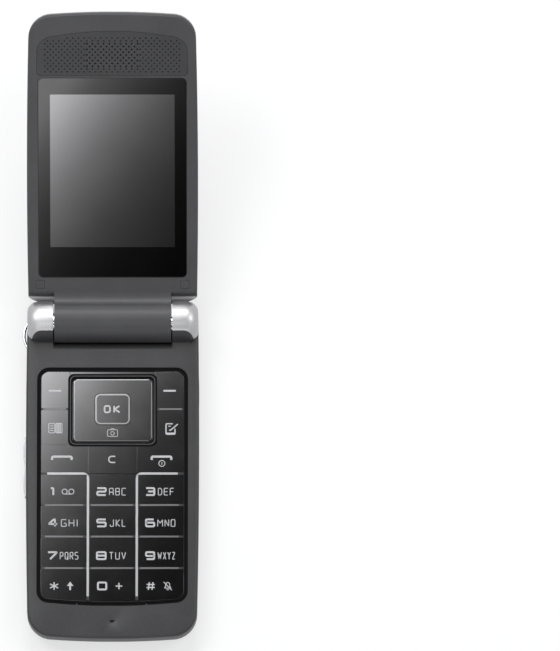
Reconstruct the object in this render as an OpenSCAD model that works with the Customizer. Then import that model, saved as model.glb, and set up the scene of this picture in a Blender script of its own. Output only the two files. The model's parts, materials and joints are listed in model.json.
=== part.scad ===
// Flip phone, lying open on its back: a keypad base and a display lid on one barrel hinge.
// X runs across the phone, Y along it towards the hinge, Z up from the back of the base.
// Lid pieces are drawn closed, over the base, and turned back about the hinge axis.

/* [Overall] */
// Length of the base, over the hinge
phone_len = 96.2; // [94:0.1:120]
// Width of the base at its widest
phone_w = 48.6; // [47:0.1:60]
// Thickness of the base
base_t = 8.4; // [8.3:0.1:11]
// Thickness of the lid
lid_t = 6.3; // [6:0.1:8]
// Air between the closed halves
lid_gap = 0.2; // [0.1:0.05:0.4]
// How far the lid opens from the base
open_angle = 156; // [100:1:160]

/* [Outline] */
// Narrowing of the base at the hinge end
hinge_taper = 0.6; // [0:0.1:1.5]
// Narrowing of the base at the tip
tip_taper = 1.0; // [0:0.1:2]
// Plan radius of the tip corners
tip_corner_r = 7; // [4:0.1:10]
// Plan radius of the hinge end corners
hinge_corner_r = 3.3; // [2.8:0.1:5]
// Bow of the tip edge
tip_bow = 0.6; // [0.2:0.1:2]
// How far the lid stops short of the base at the tip
lid_tip_step = 2.1; // [0.4:0.1:3]
// How far the lid is narrower than the base, each side
lid_side_step = 0.3; // [0:0.05:1]
// Width of the roll along the back edge of the base
back_roll_w = 2.6; // [1.5:0.1:3]
// Height of the roll along the back edge of the base
back_roll_h = 3.2; // [2:0.1:3.6]
// Width of the roll along the front edge of the base
front_roll_w = 0.8; // [0.4:0.1:1]
// Height of the roll along the front edge of the base
front_roll_h = 0.9; // [0.4:0.1:1.2]
// Width of the lid's outer roll at the sides
lid_side_roll = 4.4; // [2:0.1:6]
// Width of the lid's outer roll at the tip
lid_tip_roll = 8.85; // [4:0.05:12]
// Height of the lid's outer roll
lid_roll_h = 3.2; // [2:0.1:4]

/* [Hinge] */
// Diameter of the barrel and knuckles
barrel_d = 11.6; // [11:0.1:13]
// Length of the lid's barrel
barrel_len = 32.8; // [26:0.1:36]
// Gap between the barrel and each knuckle
knuckle_gap = 0.35; // [0.2:0.05:0.6]
// Radial gap between the barrel and the trough
trough_gap = 0.3; // [0.2:0.05:0.6]
// Distance from the axis to the lid's end over the knuckles
lid_end_r = 7.2; // [6.6:0.1:9]
// Distance from the axis to the start of the lid's neck fillet
neck_reach = 8.4; // [7.5:0.1:10]
// Radius of the lid's rolled edge beside the neck
lid_edge_r = 2.0; // [1:0.1:2.4]
// Wall of the knuckle caps
cap_wall = 1.0; // [0.6:0.1:1.6]
// Diameter of the spring cartridge
cartridge_d = 7.0; // [6:0.1:7.4]
// Diameter of the hinge shaft
shaft_d = 3.0; // [2:0.1:4]
// Outer diameter of the hollow hinge pin
pin_d = 5.0; // [4:0.1:6]
// Bore of the hollow hinge pin
pin_bore_d = 3.6; // [2:0.1:4]
// Radial clearance of a turning fit
running_fit = 0.05; // [0.02:0.01:0.09]

/* [Keypad] */
// Distance from the hinge axis to the top of the key panel
panel_from_axis = 14.2; // [13:0.1:18]
// Width of the key panel
panel_w = 40; // [38:0.1:42]
// Length of the key panel
panel_len = 65.8; // [62:0.1:68]
// Bow of the panel's bottom edge
panel_bow = 0.9; // [0.2:0.1:2]
// Corner radius of the panel
panel_corner_r = 2.2; // [1:0.1:4]
// Width of the channel round the panel
channel_w = 1.2; // [0.8:0.1:1.4]
// Depth of the panel below the front face
panel_sink = 0.25; // [0.15:0.05:0.5]
// Gap round each key
key_gap = 0.08; // [0.06:0.02:0.3]
// Travel of a key
key_travel = 0.3; // [0.15:0.05:0.3]
// Thickness of a key cap
key_t = 0.7; // [0.4:0.05:0.7]
// Distance from the panel's centre line to each upright bar
bar_x = 6.85; // [5:0.05:8]
// Width of the upright bars
bar_w = 0.62; // [0.3:0.02:1]
// Height of the strips between number rows
strip_w = 0.5; // [0.3:0.05:1]
// Distance from the panel top to the number keys
number_drop = 29.15; // [28:0.05:31]
// Pitch of the number rows
row_pitch = 9.0; // [8:0.1:9]
// Distance from the panel top to the strip under the soft keys
soft_drop = 10.7; // [8:0.1:13]
// Radius of the bend from an upright bar to its level line
line_bend = 1.4; // [0.8:0.1:2]
// Length of the raised marks on the bars beside the middle key
touch_mark_len = 2.8; // [1.5:0.1:5]

/* [Navigation key] */
// Width of the navigation key
nav_w = 22; // [18:0.1:22]
// Length of the navigation key
nav_len = 17.8; // [14:0.1:18]
// Distance from the panel top to the navigation key
nav_drop = 2.1; // [1.6:0.1:3]
// Corner radius of the navigation key
nav_corner_r = 1.2; // [0.5:0.1:3]
// Gap between the navigation key and its surround
nav_gap = 0.4; // [0.25:0.05:0.6]
// Width of the navigation surround
surround_w = 0.6; // [0.4:0.05:1]
// Depth of the navigation key below the front face
nav_sink = 0.35; // [0.3:0.05:0.6]
// Width of the centre key
ok_w = 9.8; // [7:0.1:11]
// Length of the centre key
ok_len = 8.8; // [6:0.1:10]
// Corner radius of the centre key
ok_corner_r = 1.5; // [0.5:0.1:3]
// Tilt of the navigation key each way
nav_tilt = 1.3; // [0.8:0.1:1.4]

/* [Back and inside] */
// Thickness of the battery cover
cover_t = 1.0; // [0.8:0.1:1.2]
// Height of the battery cover's rim
cover_rim = 1.6; // [1.3:0.1:2]
// Distance from the tip to the battery cover's top edge
cover_len = 60; // [58:0.5:63]
// Width of the battery
battery_w = 36; // [30:0.5:38]
// Length of the battery
battery_len = 48; // [42:0.5:48]
// Thickness of the battery
battery_t = 4.0; // [3.4:0.1:4]
// Distance from the tip to the battery
battery_from_tip = 6.9; // [6.5:0.1:7.5]
// Wall of the housings
wall = 1.2; // [1:0.1:1.4]
// Wall round the battery bay
bay_wall = 0.9; // [0.6:0.1:1.2]
// Height of the seam between the two base housings
seam_z = 4.4; // [4.2:0.1:4.8]
// Thickness of the main board
board_t = 0.6; // [0.5:0.1:0.8]
// Diameter of the housing screws
screw_d = 1.4; // [1.2:0.1:1.6]
// Diameter of the screw bosses
boss_d = 3.4; // [3:0.1:3.8]
// Loudspeaker slots in the back
speaker_slots = 5; // [3:1:6]
// Width of a loudspeaker slot
speaker_slot_w = 0.9; // [0.6:0.1:1.2]
// Finger ridges on the battery cover
grip_ridges = 5; // [3:1:7]

/* [Side pieces] */
// Length of the volume key
volume_len = 17.3; // [12:0.1:20]
// Distance from the tip to the volume key
volume_from_tip = 40.8; // [36:0.1:43]
// How far the volume key stands out at its ends
volume_proud = 0.8; // [0.4:0.1:1.2]
// Height of the volume key
volume_h = 2.8; // [2:0.1:3.2]
// Length of each side cover
flap_len = 19.5; // [16:0.1:20]
// Distance from the hinge axis to each side cover
flap_from_axis = 10.2; // [9.5:0.1:12]
// Height of each side cover
flap_h = 3.6; // [3:0.1:3.8]
// How far the side covers bulge
flap_bulge = 0.3; // [0:0.05:0.6]
// Length of the strap loop along the side
loop_len = 8.3; // [6:0.1:10]
// How far the strap loop stands out
loop_proud = 1.4; // [1:0.1:2.5]
// Wire diameter of the strap loop
loop_wire = 0.9; // [0.6:0.1:1.2]
// Depth of the finger notch in each side cover
flap_notch = 0.3; // [0.2:0.05:0.5]

/* [Lid] */
// Height of the seam between the lid housings, above the lid's inner face
lid_seam = 2.0; // [1.6:0.1:2.4]
// Width of the display window
window_w = 41.6; // [38:0.1:43]
// Length of the display window
window_len = 57; // [50:0.5:57]
// Distance from the hinge axis to the display window
window_from_axis = 12.8; // [11:0.1:15]
// Thickness of the display window and the earpiece panel
window_t = 0.8; // [0.5:0.1:1]
// Width of the lit area of the display
screen_w = 34.9; // [30:0.1:36]
// Length of the lit area of the display
screen_len = 43.6; // [36:0.1:44]
// Distance from the hinge axis to the lit area
screen_from_axis = 21.5; // [20:0.1:23]
// Width of the earpiece panel
grille_w = 42.2; // [38:0.1:43]
// Length of the earpiece panel
grille_len = 12.7; // [12:0.1:13]
// Gap between the display window and the earpiece panel
grille_gap = 0.7; // [0.3:0.1:1.5]
// Bow of the earpiece panel's outer edge
grille_bow = 1.6; // [0.5:0.1:2.5]
// Pitch of the earpiece holes along a row
hole_pitch_x = 1.57; // [1.2:0.01:1.7]
// Pitch of the rows of earpiece holes
hole_pitch_y = 0.8; // [0.7:0.02:0.9]
// Diameter of an earpiece hole
hole_d = 0.5; // [0.3:0.05:0.7]
// Earpiece holes in the longest row
hole_columns = 10; // [4:1:10]
// Rows of earpiece holes
hole_rows = 9; // [3:1:9]
// Distance from the axis to the first row of earpiece holes
holes_from_axis = 73.2; // [72:0.1:76]
// Width of the outer metal plate
plate_w = 39; // [36:0.1:40]
// Distance from the hinge axis to the outer metal plate
plate_from_axis = 4.9; // [4.6:0.1:7]
// Distance from the lid's tip to the outer metal plate
plate_from_tip = 8.9; // [8:0.1:12]
// Thickness of the outer metal plate
plate_t = 0.5; // [0.3:0.1:0.8]

/* [Camera] */
// Outer size of the camera bezel
bezel_size = 10.8; // [9:0.1:12]
// Corner radius of the camera bezel
bezel_corner_r = 2.7; // [1.5:0.1:4]
// Width of the bezel ring
bezel_ring = 1.3; // [0.8:0.1:2]
// Distance from the hinge axis to the centre of the camera
camera_from_axis = 2.7; // [1.5:0.1:4]
// Depth of the camera pocket
bezel_depth = 2.3; // [2:0.1:2.6]
// Width of the camera's body
camera_body = 6.6; // [5.6:0.1:6.8]
// Height of the camera's body
camera_h = 3.2; // [2.6:0.1:3.3]

/* [Hidden] */
$fn = 48;
eps = 0.03;
far = 200;
corner_steps = 8;
roll_steps = 4;
lid_roll_steps = 6;

// Sizes with two or three parts
back_roll = [back_roll_w, back_roll_h];
front_roll = [front_roll_w, front_roll_h];
ok_size = [ok_w, ok_len];
battery_size = [battery_w, battery_len, battery_t];
window_size = [window_w, window_len];
screen_size = [screen_w, screen_len];
grille_size = [grille_w, grille_len];

// Hinge axis and the ends of the two halves
barrel_r = barrel_d / 2;
base_end_r = barrel_r - 0.02;
hinge_y = phone_len / 2 - barrel_r;
hinge_z = base_t + lid_gap;
tip_y = -phone_len / 2;
lid_tip_y = tip_y + lid_tip_step;
knuckle_x = barrel_len / 2 + knuckle_gap;
knuckle_end_x = (phone_w - hinge_taper) / 2;
neck_y = hinge_y - neck_reach;
neck_fillet_r = (pow(neck_reach, 2) - pow(barrel_r, 2)) / (2 * barrel_r);
lip_y = hinge_y - 0.8;
knuckle_foot_z = hinge_z - 2.4;
hollow_end_y = neck_y - 1.4;
shaft_end_x = knuckle_x + 3.4;
pin_end_x = knuckle_x + 3.4;
cartridge_x = [5.6, barrel_len / 2];

// Levels in the base, from the back up
battery_z = cover_t + 0.15;
bay_top_z = battery_z + battery_size.z + 0.05;
bay_ceiling_t = 0.5;
board_z = bay_top_z + bay_ceiling_t + 0.1;
board_top_z = board_z + board_t;
dome_film_t = 0.1;
dome_h = 0.15;
mat_z = board_top_z + dome_film_t + dome_h;
key_rest_gap = key_travel + 0.05;
top_wall_z = base_t - wall;
ledge_z = base_t - 0.7;
panel_z = base_t - panel_sink;
mat_top_z = panel_z - 1.25;

// Plan places in the base
panel_top_y = hinge_y - panel_from_axis;
panel_bottom_y = panel_top_y - panel_len;
nav_y = panel_top_y - nav_drop - nav_len / 2;
ok_y = nav_y + 0.3;
ok_clear = 0.15;
nav_t = 0.6;
nav_top_z = base_t - nav_sink;
nav_under_z = nav_top_z - nav_t;
pivot_t = 0.2;
pivot_gap = 0.15;
pivot_clear = 0.4;
number_top_y = panel_top_y - number_drop;
soft_y = panel_top_y - soft_drop;
surround_edge_x = nav_w / 2 + nav_gap + surround_w;
surround_bottom_y = nav_y - nav_len / 2 - nav_gap - surround_w;
cover_top_y = tip_y + cover_len;
cover_gap = 0.05;
battery_tip_y = tip_y + battery_from_tip;
battery_gap = 0.3;
screw_xy = [[phone_w / 2 - 3.4, tip_y + 7.1], [phone_w / 2 - 3.5, hinge_y - 6.7]];
bay_size = [battery_size.x + 2 * battery_gap, battery_size.y + 2 * battery_gap];
bay_end_y = battery_tip_y - battery_gap + bay_size.y + bay_wall;
motor_d = 7.4;
volume_y = tip_y + volume_from_tip + volume_len / 2;
volume_z = seam_z;
flap_y = hinge_y - flap_from_axis;
flap_z = seam_z;
flap_t = 1.2;
flap_x = (phone_w - hinge_taper) / 2 - flap_t / 2;
mic_y = panel_bottom_y - 5.5;
speaker_depth = 5.4;
speaker_y = hollow_end_y - 0.3 - speaker_depth / 2;
speaker_x = 5;
speaker_open = [14, 4];
flap_pin_d = 0.8;
flap_pin_len = 0.5;
side_gap = 0.15;
loop_y = hinge_y - 3.55;
loop_z = 6.3;

// Levels in the lid, as drawn closed
lid_z = hinge_z;
lid_top_z = lid_z + lid_t;
lid_seam_z = lid_z + lid_seam;
window_z = lid_z + 0.05;
window_back_z = window_z + window_t;
plate_proud = 0.1;
lid_face_z = lid_top_z - 0.25;
lid_roof_z = lid_face_z - 1.1;
window_top_y = hinge_y - window_from_axis;
window_bottom_y = window_top_y - window_size.y;
grille_top_y = window_bottom_y - grille_gap;
grille_bottom_y = grille_top_y - grille_size.y;
screen_top_y = hinge_y - screen_from_axis;
plate_top_y = hinge_y - plate_from_axis;
plate_bottom_y = lid_tip_y + plate_from_tip;
camera_y = hinge_y - camera_from_axis;
bezel_z = lid_top_z - bezel_depth;
bezel_floor_t = 1.0;
camera_floor_z = bezel_z - camera_h;
pad_x = phone_w / 2 - 4;
pad_y = hinge_y - 10.8;
pad_size = [2.4, 2.4];

// Colours
dark_plastic = [0.26, 0.26, 0.27];
gloss_black = [0.07, 0.07, 0.08];
silver = [0.72, 0.72, 0.74];
brushed = [0.62, 0.62, 0.63];
chrome = [0.85, 0.85, 0.87];
board_green = [0.1, 0.35, 0.2];
copper_gold = [0.8, 0.62, 0.3];
rubber_grey = [0.45, 0.46, 0.48];
label_grey = [0.6, 0.62, 0.66];

// Keys: name, x range and y range of the cell that each one fills
number_names = [["key_1", "key_2", "key_3"], ["key_4", "key_5", "key_6"],
                ["key_7", "key_8", "key_9"], ["key_star", "key_0", "key_hash"]];
last_row = len(number_names) - 1;
bar_edge_x = bar_x + bar_w / 2;
column_x = [
    [-panel_w / 2, -bar_edge_x],
    [-bar_edge_x + bar_w, bar_edge_x - bar_w],
    [bar_edge_x, panel_w / 2]
];
function row_top(row) = number_top_y - row * row_pitch - strip_w / 2;
function row_bottom(row) =
    row == last_row ? panel_bottom_y : number_top_y - (row + 1) * row_pitch + strip_w / 2;
upper_keys = [
    ["key_soft_left", [-panel_w / 2, -surround_edge_x], [soft_y + strip_w / 2, panel_top_y]],
    ["key_contacts", [-panel_w / 2, -surround_edge_x], [surround_bottom_y, soft_y - strip_w / 2]],
    ["key_send", [-panel_w / 2, -bar_x], [number_top_y + strip_w / 2, surround_bottom_y]],
    ["key_clear", [-bar_x, bar_x], [number_top_y, surround_bottom_y]],
    ["key_end", [bar_x, panel_w / 2], [number_top_y + strip_w / 2, surround_bottom_y]],
    ["key_tasks", [surround_edge_x, panel_w / 2], [surround_bottom_y, soft_y - strip_w / 2]],
    ["key_soft_right", [surround_edge_x, panel_w / 2], [soft_y + strip_w / 2, panel_top_y]]
];
number_keys = [for (row = [0:last_row]) for (col = [0:2])
    [number_names[row][col], column_x[col], [row_bottom(row), row_top(row)]]];
KEYS = concat(upper_keys, number_keys);

// ---------- outlines ----------

function arc_points(centre, r, from, to) =
    [for (i = [0:corner_steps]) let (a = from + (to - from) * i / corner_steps)
        centre + r * [cos(a), sin(a)]];

// Right half of an outline from its top edge to its bowed bottom edge
function half_outline(top_w, tip_w, y_top, y_tip, r_top, r_tip, bulge, bow) =
    let (flank_top = y_top - r_top, flank_tip = y_tip + bow + r_tip, edge_w = tip_w - r_tip)
    concat(
        arc_points([top_w - r_top, flank_top], r_top, 90, 0),
        bulge == 0 ? [] : [for (i = [1:7]) let (t = i / 8)
            [top_w + (tip_w - top_w) * t + 4 * bulge * t * (1 - t),
             flank_top + (flank_tip - flank_top) * t]],
        arc_points([edge_w, flank_tip], r_tip, 0, -90),
        [for (i = [1:4]) let (t = 1 - i / 5) [edge_w * t, y_tip + bow * t * t]]);

function mirrored(points) =
    concat(points, [for (i = [len(points) - 1:-1:0]) [-points[i].x, points[i].y]]);

module base_outline(inset = 0) {
    side_bulge = (hinge_taper + tip_taper) / 4;
    polygon(mirrored(half_outline(
        (phone_w - hinge_taper) / 2 - inset, (phone_w - tip_taper) / 2 - inset,
        phone_len / 2 - inset, tip_y + inset,
        max(hinge_corner_r - inset, 0.4), tip_corner_r - inset, side_bulge, tip_bow)));
}

module lid_outline(side_inset = 0, tip_inset = 0) {
    side_bulge = (hinge_taper + tip_taper) / 4;
    polygon(mirrored(half_outline(
        (phone_w - hinge_taper) / 2 - lid_side_step - side_inset,
        (phone_w - tip_taper) / 2 - lid_side_step - side_inset,
        hinge_y - 3 - 0.15 * side_inset, lid_tip_y + tip_inset,
        3.8, tip_corner_r - lid_side_step - side_inset / 2, side_bulge, tip_bow)));
}

module panel_outline(grow = 0) {
    polygon(mirrored(half_outline(
        panel_w / 2 + grow, panel_w / 2 + grow, panel_top_y + grow, panel_bottom_y - grow,
        panel_corner_r + grow, panel_corner_r + grow, 0, panel_bow)));
}

module rounded_rect(size, r) {
    square([size.x - 2 * r, size.y], center = true);
    square([size.x, size.y - 2 * r], center = true);
    for (x = [-1, 1]) for (y = [-1, 1])
        translate([x * (size.x / 2 - r), y * (size.y / 2 - r)]) circle(r);
}

// ---------- placing ----------

// Extrudes a side view, drawn as Y and Z, along X about the centre line
module along_x(width) rotate([90, 0, 90]) translate([0, 0, -width / 2]) linear_extrude(width) children();

module along_x_from(x0, x1) rotate([90, 0, 90]) translate([0, 0, x0]) linear_extrude(x1 - x0) children();

module at_axis() translate([hinge_y, hinge_z]) children();

module both_sides() {
    children();
    mirror([1, 0, 0]) children();
}

module slab(z0, z1) translate([0, 0, z0]) linear_extrude(z1 - z0) children();

module block(x, y, z) translate([x[0], y[0], z[0]]) cube([x[1] - x[0], y[1] - y[0], z[1] - z[0]]);

module upright(d, z0, z1) translate([0, 0, z0]) cylinder(d = d, h = z1 - z0);

module pin_along_x(d, x0, x1)
    translate([x0, hinge_y, hinge_z]) rotate([0, 90, 0]) cylinder(d = d, h = x1 - x0);

module opened()
    translate([0, hinge_y, hinge_z]) rotate([-open_angle, 0, 0])
        translate([0, -hinge_y, -hinge_z]) children();

// ---------- outer forms ----------

// Side view of the base's hinge end: round the knuckle, then straight down to the back
module base_end_view() {
    foot = [hinge_y + 0.4, 0];
    axis = [hinge_y, hinge_z];
    reach = norm(foot - axis);
    tangent_a = atan2(foot.y - axis.y, foot.x - axis.x) + acos(base_end_r / reach);
    polygon([[-far, -1], [foot.x, -1], foot, axis + base_end_r * [cos(tangent_a), sin(tangent_a)],
        axis, [hinge_y, far], [-far, far]]);
    at_axis() circle(base_end_r, $fn = 96);
}

module base_form() {
    intersection() {
        hull() {
            slab(back_roll.y, base_t - front_roll.y) base_outline();
            for (i = [0:roll_steps - 1]) {
                a = 90 * i / roll_steps;
                back_z = back_roll.y * (1 - cos(a));
                front_z = base_t - front_roll.y * (1 - cos(a));
                slab(back_z, back_z + eps) base_outline(back_roll.x * (1 - sin(a)));
                slab(front_z - eps, front_z) base_outline(front_roll.x * (1 - sin(a)));
            }
        }
        along_x(far) base_end_view();
    }
}

// A knuckle: a round stub on the axis with a domed outer end
module knuckle_form(inset = 0) {
    r = barrel_r - inset;
    dome = [3.45, 2.8];
    flat_len = knuckle_end_x - inset - dome.x - knuckle_x;
    translate([knuckle_x, hinge_y, hinge_z]) rotate([0, 90, 0]) rotate_extrude($fn = 96)
        polygon(concat([[0, 0], [r, 0]],
            [for (i = [0:6]) let (a = 90 * i / 6)
                [r - dome.y * (1 - cos(a)), flat_len + dome.x * sin(a)]],
            [[0, flat_len + dome.x]]));
}

// Plan area that the silver cap covers, with a tail down the outer side
module cap_area() {
    edge_y = hinge_y - 3.4;
    bend = 3.2;
    tail_x = knuckle_end_x - 0.9;
    difference() {
        translate([knuckle_x - 1, edge_y - bend]) square([far, far]);
        translate([knuckle_x - 2, edge_y - bend - 1]) square([tail_x - bend - knuckle_x + 2, bend + 1]);
        translate([tail_x - bend, edge_y - bend]) circle(bend);
        translate([tail_x - bend - 1, edge_y - 2 * bend]) square([bend + 1, bend]);
    }
}

module cap_zone() slab(hinge_z, far) cap_area();

module fillet_corner(centre, r) {
    difference() {
        polygon([[centre.x, centre.y + r], centre, [hinge_y, hinge_z], [hinge_y, centre.y + r]]);
        translate(centre) circle(r, $fn = 64);
    }
}

// Side view of the hollow in the base that the barrel and its neck turn in
module trough_view() {
    at_axis() circle(barrel_r + trough_gap, $fn = 96);
    difference() {
        polygon([[neck_y, far], [neck_y, hinge_z - neck_fillet_r], [hinge_y, hinge_z], [hinge_y, far]]);
        translate([neck_y, hinge_z - neck_fillet_r]) circle(neck_fillet_r - lid_gap, $fn = 64);
    }
    translate([lip_y, -far]) square([far, 2 * far]);
}

module trough() along_x(2 * knuckle_x) trough_view();

// Side view of the lid's barrel and the neck that joins it to the lid
module neck_view() {
    at_axis() circle(barrel_r, $fn = 96);
    fillet_corner([neck_y, hinge_z - neck_fillet_r], neck_fillet_r);
    intersection() {
        at_axis() circle(lid_end_r - 0.03, $fn = 96);
        translate([hinge_y - far, hinge_z]) square([far, barrel_r]);
    }
}

module lid_form() {
    roll_z = lid_face_z - lid_roll_h;
    difference() {
        hull() {
            slab(lid_z, lid_z + eps) lid_outline(0.4, 0.4);
            slab(lid_z + 0.25, lid_z + 0.25 + eps) lid_outline(0.12, 0.12);
            slab(lid_z + 0.6, roll_z) lid_outline();
            for (i = [1:lid_roll_steps]) {
                a = 90 * i / lid_roll_steps;
                z = roll_z + lid_roll_h * sin(a);
                inset = 0.9 * (1 - cos(a));
                slab(z - eps, z) lid_outline(lid_side_roll * inset, lid_tip_roll * inset);
            }
        }
        along_x(far) at_axis() circle(lid_end_r, $fn = 96);
        both_sides() along_x_from(barrel_len / 2, far) lid_edge_view();
    }
}

// Side view of what the lid's rolled edge takes off over each knuckle
module lid_edge_view() {
    edge_y = hinge_y - lid_end_r;
    difference() {
        polygon([[edge_y - lid_edge_r, lid_z - 1], [edge_y - lid_edge_r, lid_z],
            [edge_y + 0.5, lid_z + lid_edge_r], [hinge_y, lid_z + lid_edge_r], [hinge_y, lid_z - 1]]);
        translate([edge_y - lid_edge_r, lid_z + lid_edge_r]) circle(lid_edge_r, $fn = 96);
    }
}

// ---------- openings shared by neighbours ----------

module screw_places() both_sides() for (p = screw_xy) translate(p) children();

module volume_shape(grow = 0) {
    x_in = -phone_w / 2 + 1.1;
    x_face = -phone_w / 2;
    half = volume_len / 2 + grow;
    bump = volume_len / 4;
    translate([0, volume_y]) {
        translate([x_face - 0.35, -half]) square([x_in - x_face + 0.35, 2 * half]);
        for (s = [-1, 1]) translate([x_in, s * (half - bump)]) intersection() {
            translate([-far, -bump]) square([far, 2 * bump]);
            translate([x_face - volume_proud - x_in + 12, 0]) circle(12, $fn = 96);
        }
    }
}

module volume_slot()
    block([-phone_w / 2 - 1, -phone_w / 2 + wall + 0.4],
        [volume_y - volume_len / 2 - side_gap, volume_y + volume_len / 2 + side_gap],
        [volume_z - volume_h / 2 - side_gap, volume_z + volume_h / 2 + side_gap]);

module flap_pocket() {
    r = flap_t / 2 + side_gap;
    block([flap_x - r, far], [flap_y - flap_len - side_gap, flap_y - flap_t / 2],
        [flap_z - flap_h / 2 - side_gap, flap_z + flap_h / 2 + side_gap]);
    translate([flap_x, flap_y - flap_t / 2]) {
        upright(2 * r, flap_z - flap_h / 2 - side_gap, flap_z + flap_h / 2 + side_gap);
        upright(flap_pin_d + 2 * running_fit, flap_z - flap_h / 2 - flap_pin_len - side_gap,
            flap_z + flap_h / 2 + flap_pin_len + side_gap);
        block([0, far], [-r, r], [flap_z - flap_h / 2 - side_gap, flap_z + flap_h / 2 + side_gap]);
    }
}

module socket_slot(y0, y1, z0, z1) block([flap_x - 4, far], [y0, y1], [z0, z1]);

// ---------- base housings ----------

module base_cuts() {
    trough();
    volume_slot();
    both_sides() flap_pocket();
    socket_slot(flap_y - 17.2, flap_y - 2.6, 3.2, board_z);
    mirror([1, 0, 0]) socket_slot(flap_y - 15.5, flap_y - 3.5, 4.0, board_z);
    strap_loop_form();
}

module hollow(z0, z1, inset) intersection() {
    slab(z0, z1) base_outline(inset);
    block([-far, far], [-far, hollow_end_y], [z0, z1]);
}

module bay_block(grow, z0, z1)
    block([-bay_size.x / 2 - grow, bay_size.x / 2 + grow],
        [battery_tip_y - battery_gap - grow, battery_tip_y - battery_gap + bay_size.y + grow], [z0, z1]);

module rear_housing() color(dark_plastic) {
    shelf_z = cover_rim + cover_gap;
    difference() {
        union() {
            difference() {
                intersection() {
                    base_form();
                    block([-far, far], [-far, far], [-1, seam_z]);
                }
                block([-far, far], [-far, cover_top_y + cover_gap], [-1, shelf_z]);
                difference() {
                    hollow(shelf_z + 1.0, seam_z + 1, wall);
                    both_sides() translate(screw_xy[0]) upright(boss_d, 0, seam_z + 2);
                }
                intersection() {
                    hollow(wall, seam_z, wall + back_roll.x / 2);
                    block([-far, far], [cover_top_y + wall, far], [0, seam_z + 1]);
                }
            }
            bay_block(bay_wall, shelf_z, bay_top_z + bay_ceiling_t);
        }
        bay_block(0, -1, bay_top_z);
        base_cuts();
        speaker_outlet();
        screw_places() {
            upright(screw_d + 0.4, -1, seam_z + 1);
            upright(screw_d + 1.4, -1, 2.4);
        }
    }
}

module front_housing() color(dark_plastic) {
    difference() {
        union() {
            intersection() {
                base_form();
                block([-far, far], [-far, far], [seam_z, far]);
            }
            both_sides() intersection() {
                knuckle_form();
                block([-far, far], [-far, far], [knuckle_foot_z, far]);
            }
            both_sides() knuckle_foot();
        }
        both_sides() difference() {
            intersection() { knuckle_form(-1); cap_zone(); }
            knuckle_form(cap_wall);
        }
        difference() {
            hollow(seam_z - 1, top_wall_z, wall);
            screw_places() upright(boss_d, seam_z, top_wall_z + 1);
        }
        slab(top_wall_z - 1, far) panel_outline(0.3);
        slab(ledge_z, far) panel_outline(channel_w);
        screw_places() upright(screw_d - 0.1, seam_z - 1, top_wall_z - 0.1);
        microphone_hole();
        base_cuts();
        pin_along_x(shaft_d + 0.04, knuckle_x - 1, shaft_end_x);
        pin_along_x(pin_d + 0.04, -pin_end_x, -knuckle_x + 1);
    }
}

// A three-sided slot over the microphone, in a shallow dish
module microphone_hole() translate([0, mic_y]) {
    slab(top_wall_z - 1, far) polygon([[-0.95, 0.3], [0, -0.42], [0.95, 0.3]]);
    dish_r = 6;
    dish_depth = 0.25;
    translate([0, 0.1, base_t + dish_r - dish_depth]) sphere(dish_r, $fn = 64);
}

// Small fillet where the front face runs up into a knuckle
module knuckle_foot() {
    r = 0.9;
    along_x_from(knuckle_x, knuckle_end_x - 2.2) difference() {
        translate([hinge_y - barrel_r - r, base_t - 0.5]) square([r + 0.3, r + 0.5]);
        translate([hinge_y - barrel_r - r, base_t + r]) circle(r, $fn = 48);
    }
}

module hinge_cap() {
    difference() {
        intersection() { knuckle_form(); cap_zone(); }
        knuckle_form(cap_wall);
    }
}

module hinge_cap_left() color(silver) mirror([1, 0, 0]) hinge_cap();

module hinge_cap_right() color(silver) hinge_cap();

module strap_loop_form() {
    r = (pow(loop_len / 2, 2) + pow(loop_proud, 2)) / (2 * loop_proud);
    half_a = asin(loop_len / 2 / r) + 8;
    translate([-(knuckle_end_x + loop_proud - r), loop_y, loop_z])
        rotate([0, 0, 180 - half_a]) rotate_extrude(angle = 2 * half_a, $fn = 96)
            translate([r - loop_wire / 2, 0]) circle(d = loop_wire, $fn = 24);
}

module strap_loop() color(silver) strap_loop_form();

module battery_cover() color(dark_plastic) {
    difference() {
        intersection() {
            base_form();
            block([-far, far], [-far, cover_top_y], [-1, cover_rim]);
        }
        cover_grip();
        intersection() {
            slab(cover_t, cover_rim + 1) base_outline(back_roll.x * 0.35 + wall);
            block([-far, far], [-far, cover_top_y + 1], [0, far]);
        }
    }
}

// Finger grooves across the cover, shorter towards the tip
module cover_grip() {
    groove_w = 0.7;
    groove_depth = 0.3;
    for (i = [0:grip_ridges - 1]) {
        half = 7 - 0.6 * i;
        y = cover_top_y - 8 - 1.6 * i;
        block([-half, half], [y, y + groove_w], [-1, groove_depth]);
    }
}

// ---------- keypad ----------

module keypad_bezel() color(gloss_black) {
    difference() {
        slab(ledge_z, base_t - 0.1) panel_outline(channel_w - 0.02);
        slab(ledge_z - 1, far) panel_outline(0.12);
        slab(base_t - 0.35, far) difference() {
            panel_outline(channel_w * 0.7);
            panel_outline(channel_w * 0.4);
        }
    }
}

// An upright bar that bends out at its top into a level line
module bar_and_line() {
    bend = line_bend;
    line_end_x = panel_w / 2 - key_gap;
    translate([bar_x - bar_w / 2, panel_bottom_y + 0.5])
        square([bar_w, number_top_y - bend - panel_bottom_y - 0.5]);
    translate([bar_x + bend, number_top_y - bar_w / 2]) square([line_end_x - bar_x - bend, bar_w]);
    translate([bar_x + bend, number_top_y - bend]) intersection() {
        difference() {
            circle(bend + bar_w / 2);
            circle(bend - bar_w / 2);
        }
        translate([-far, 0]) square(far);
    }
}

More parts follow.
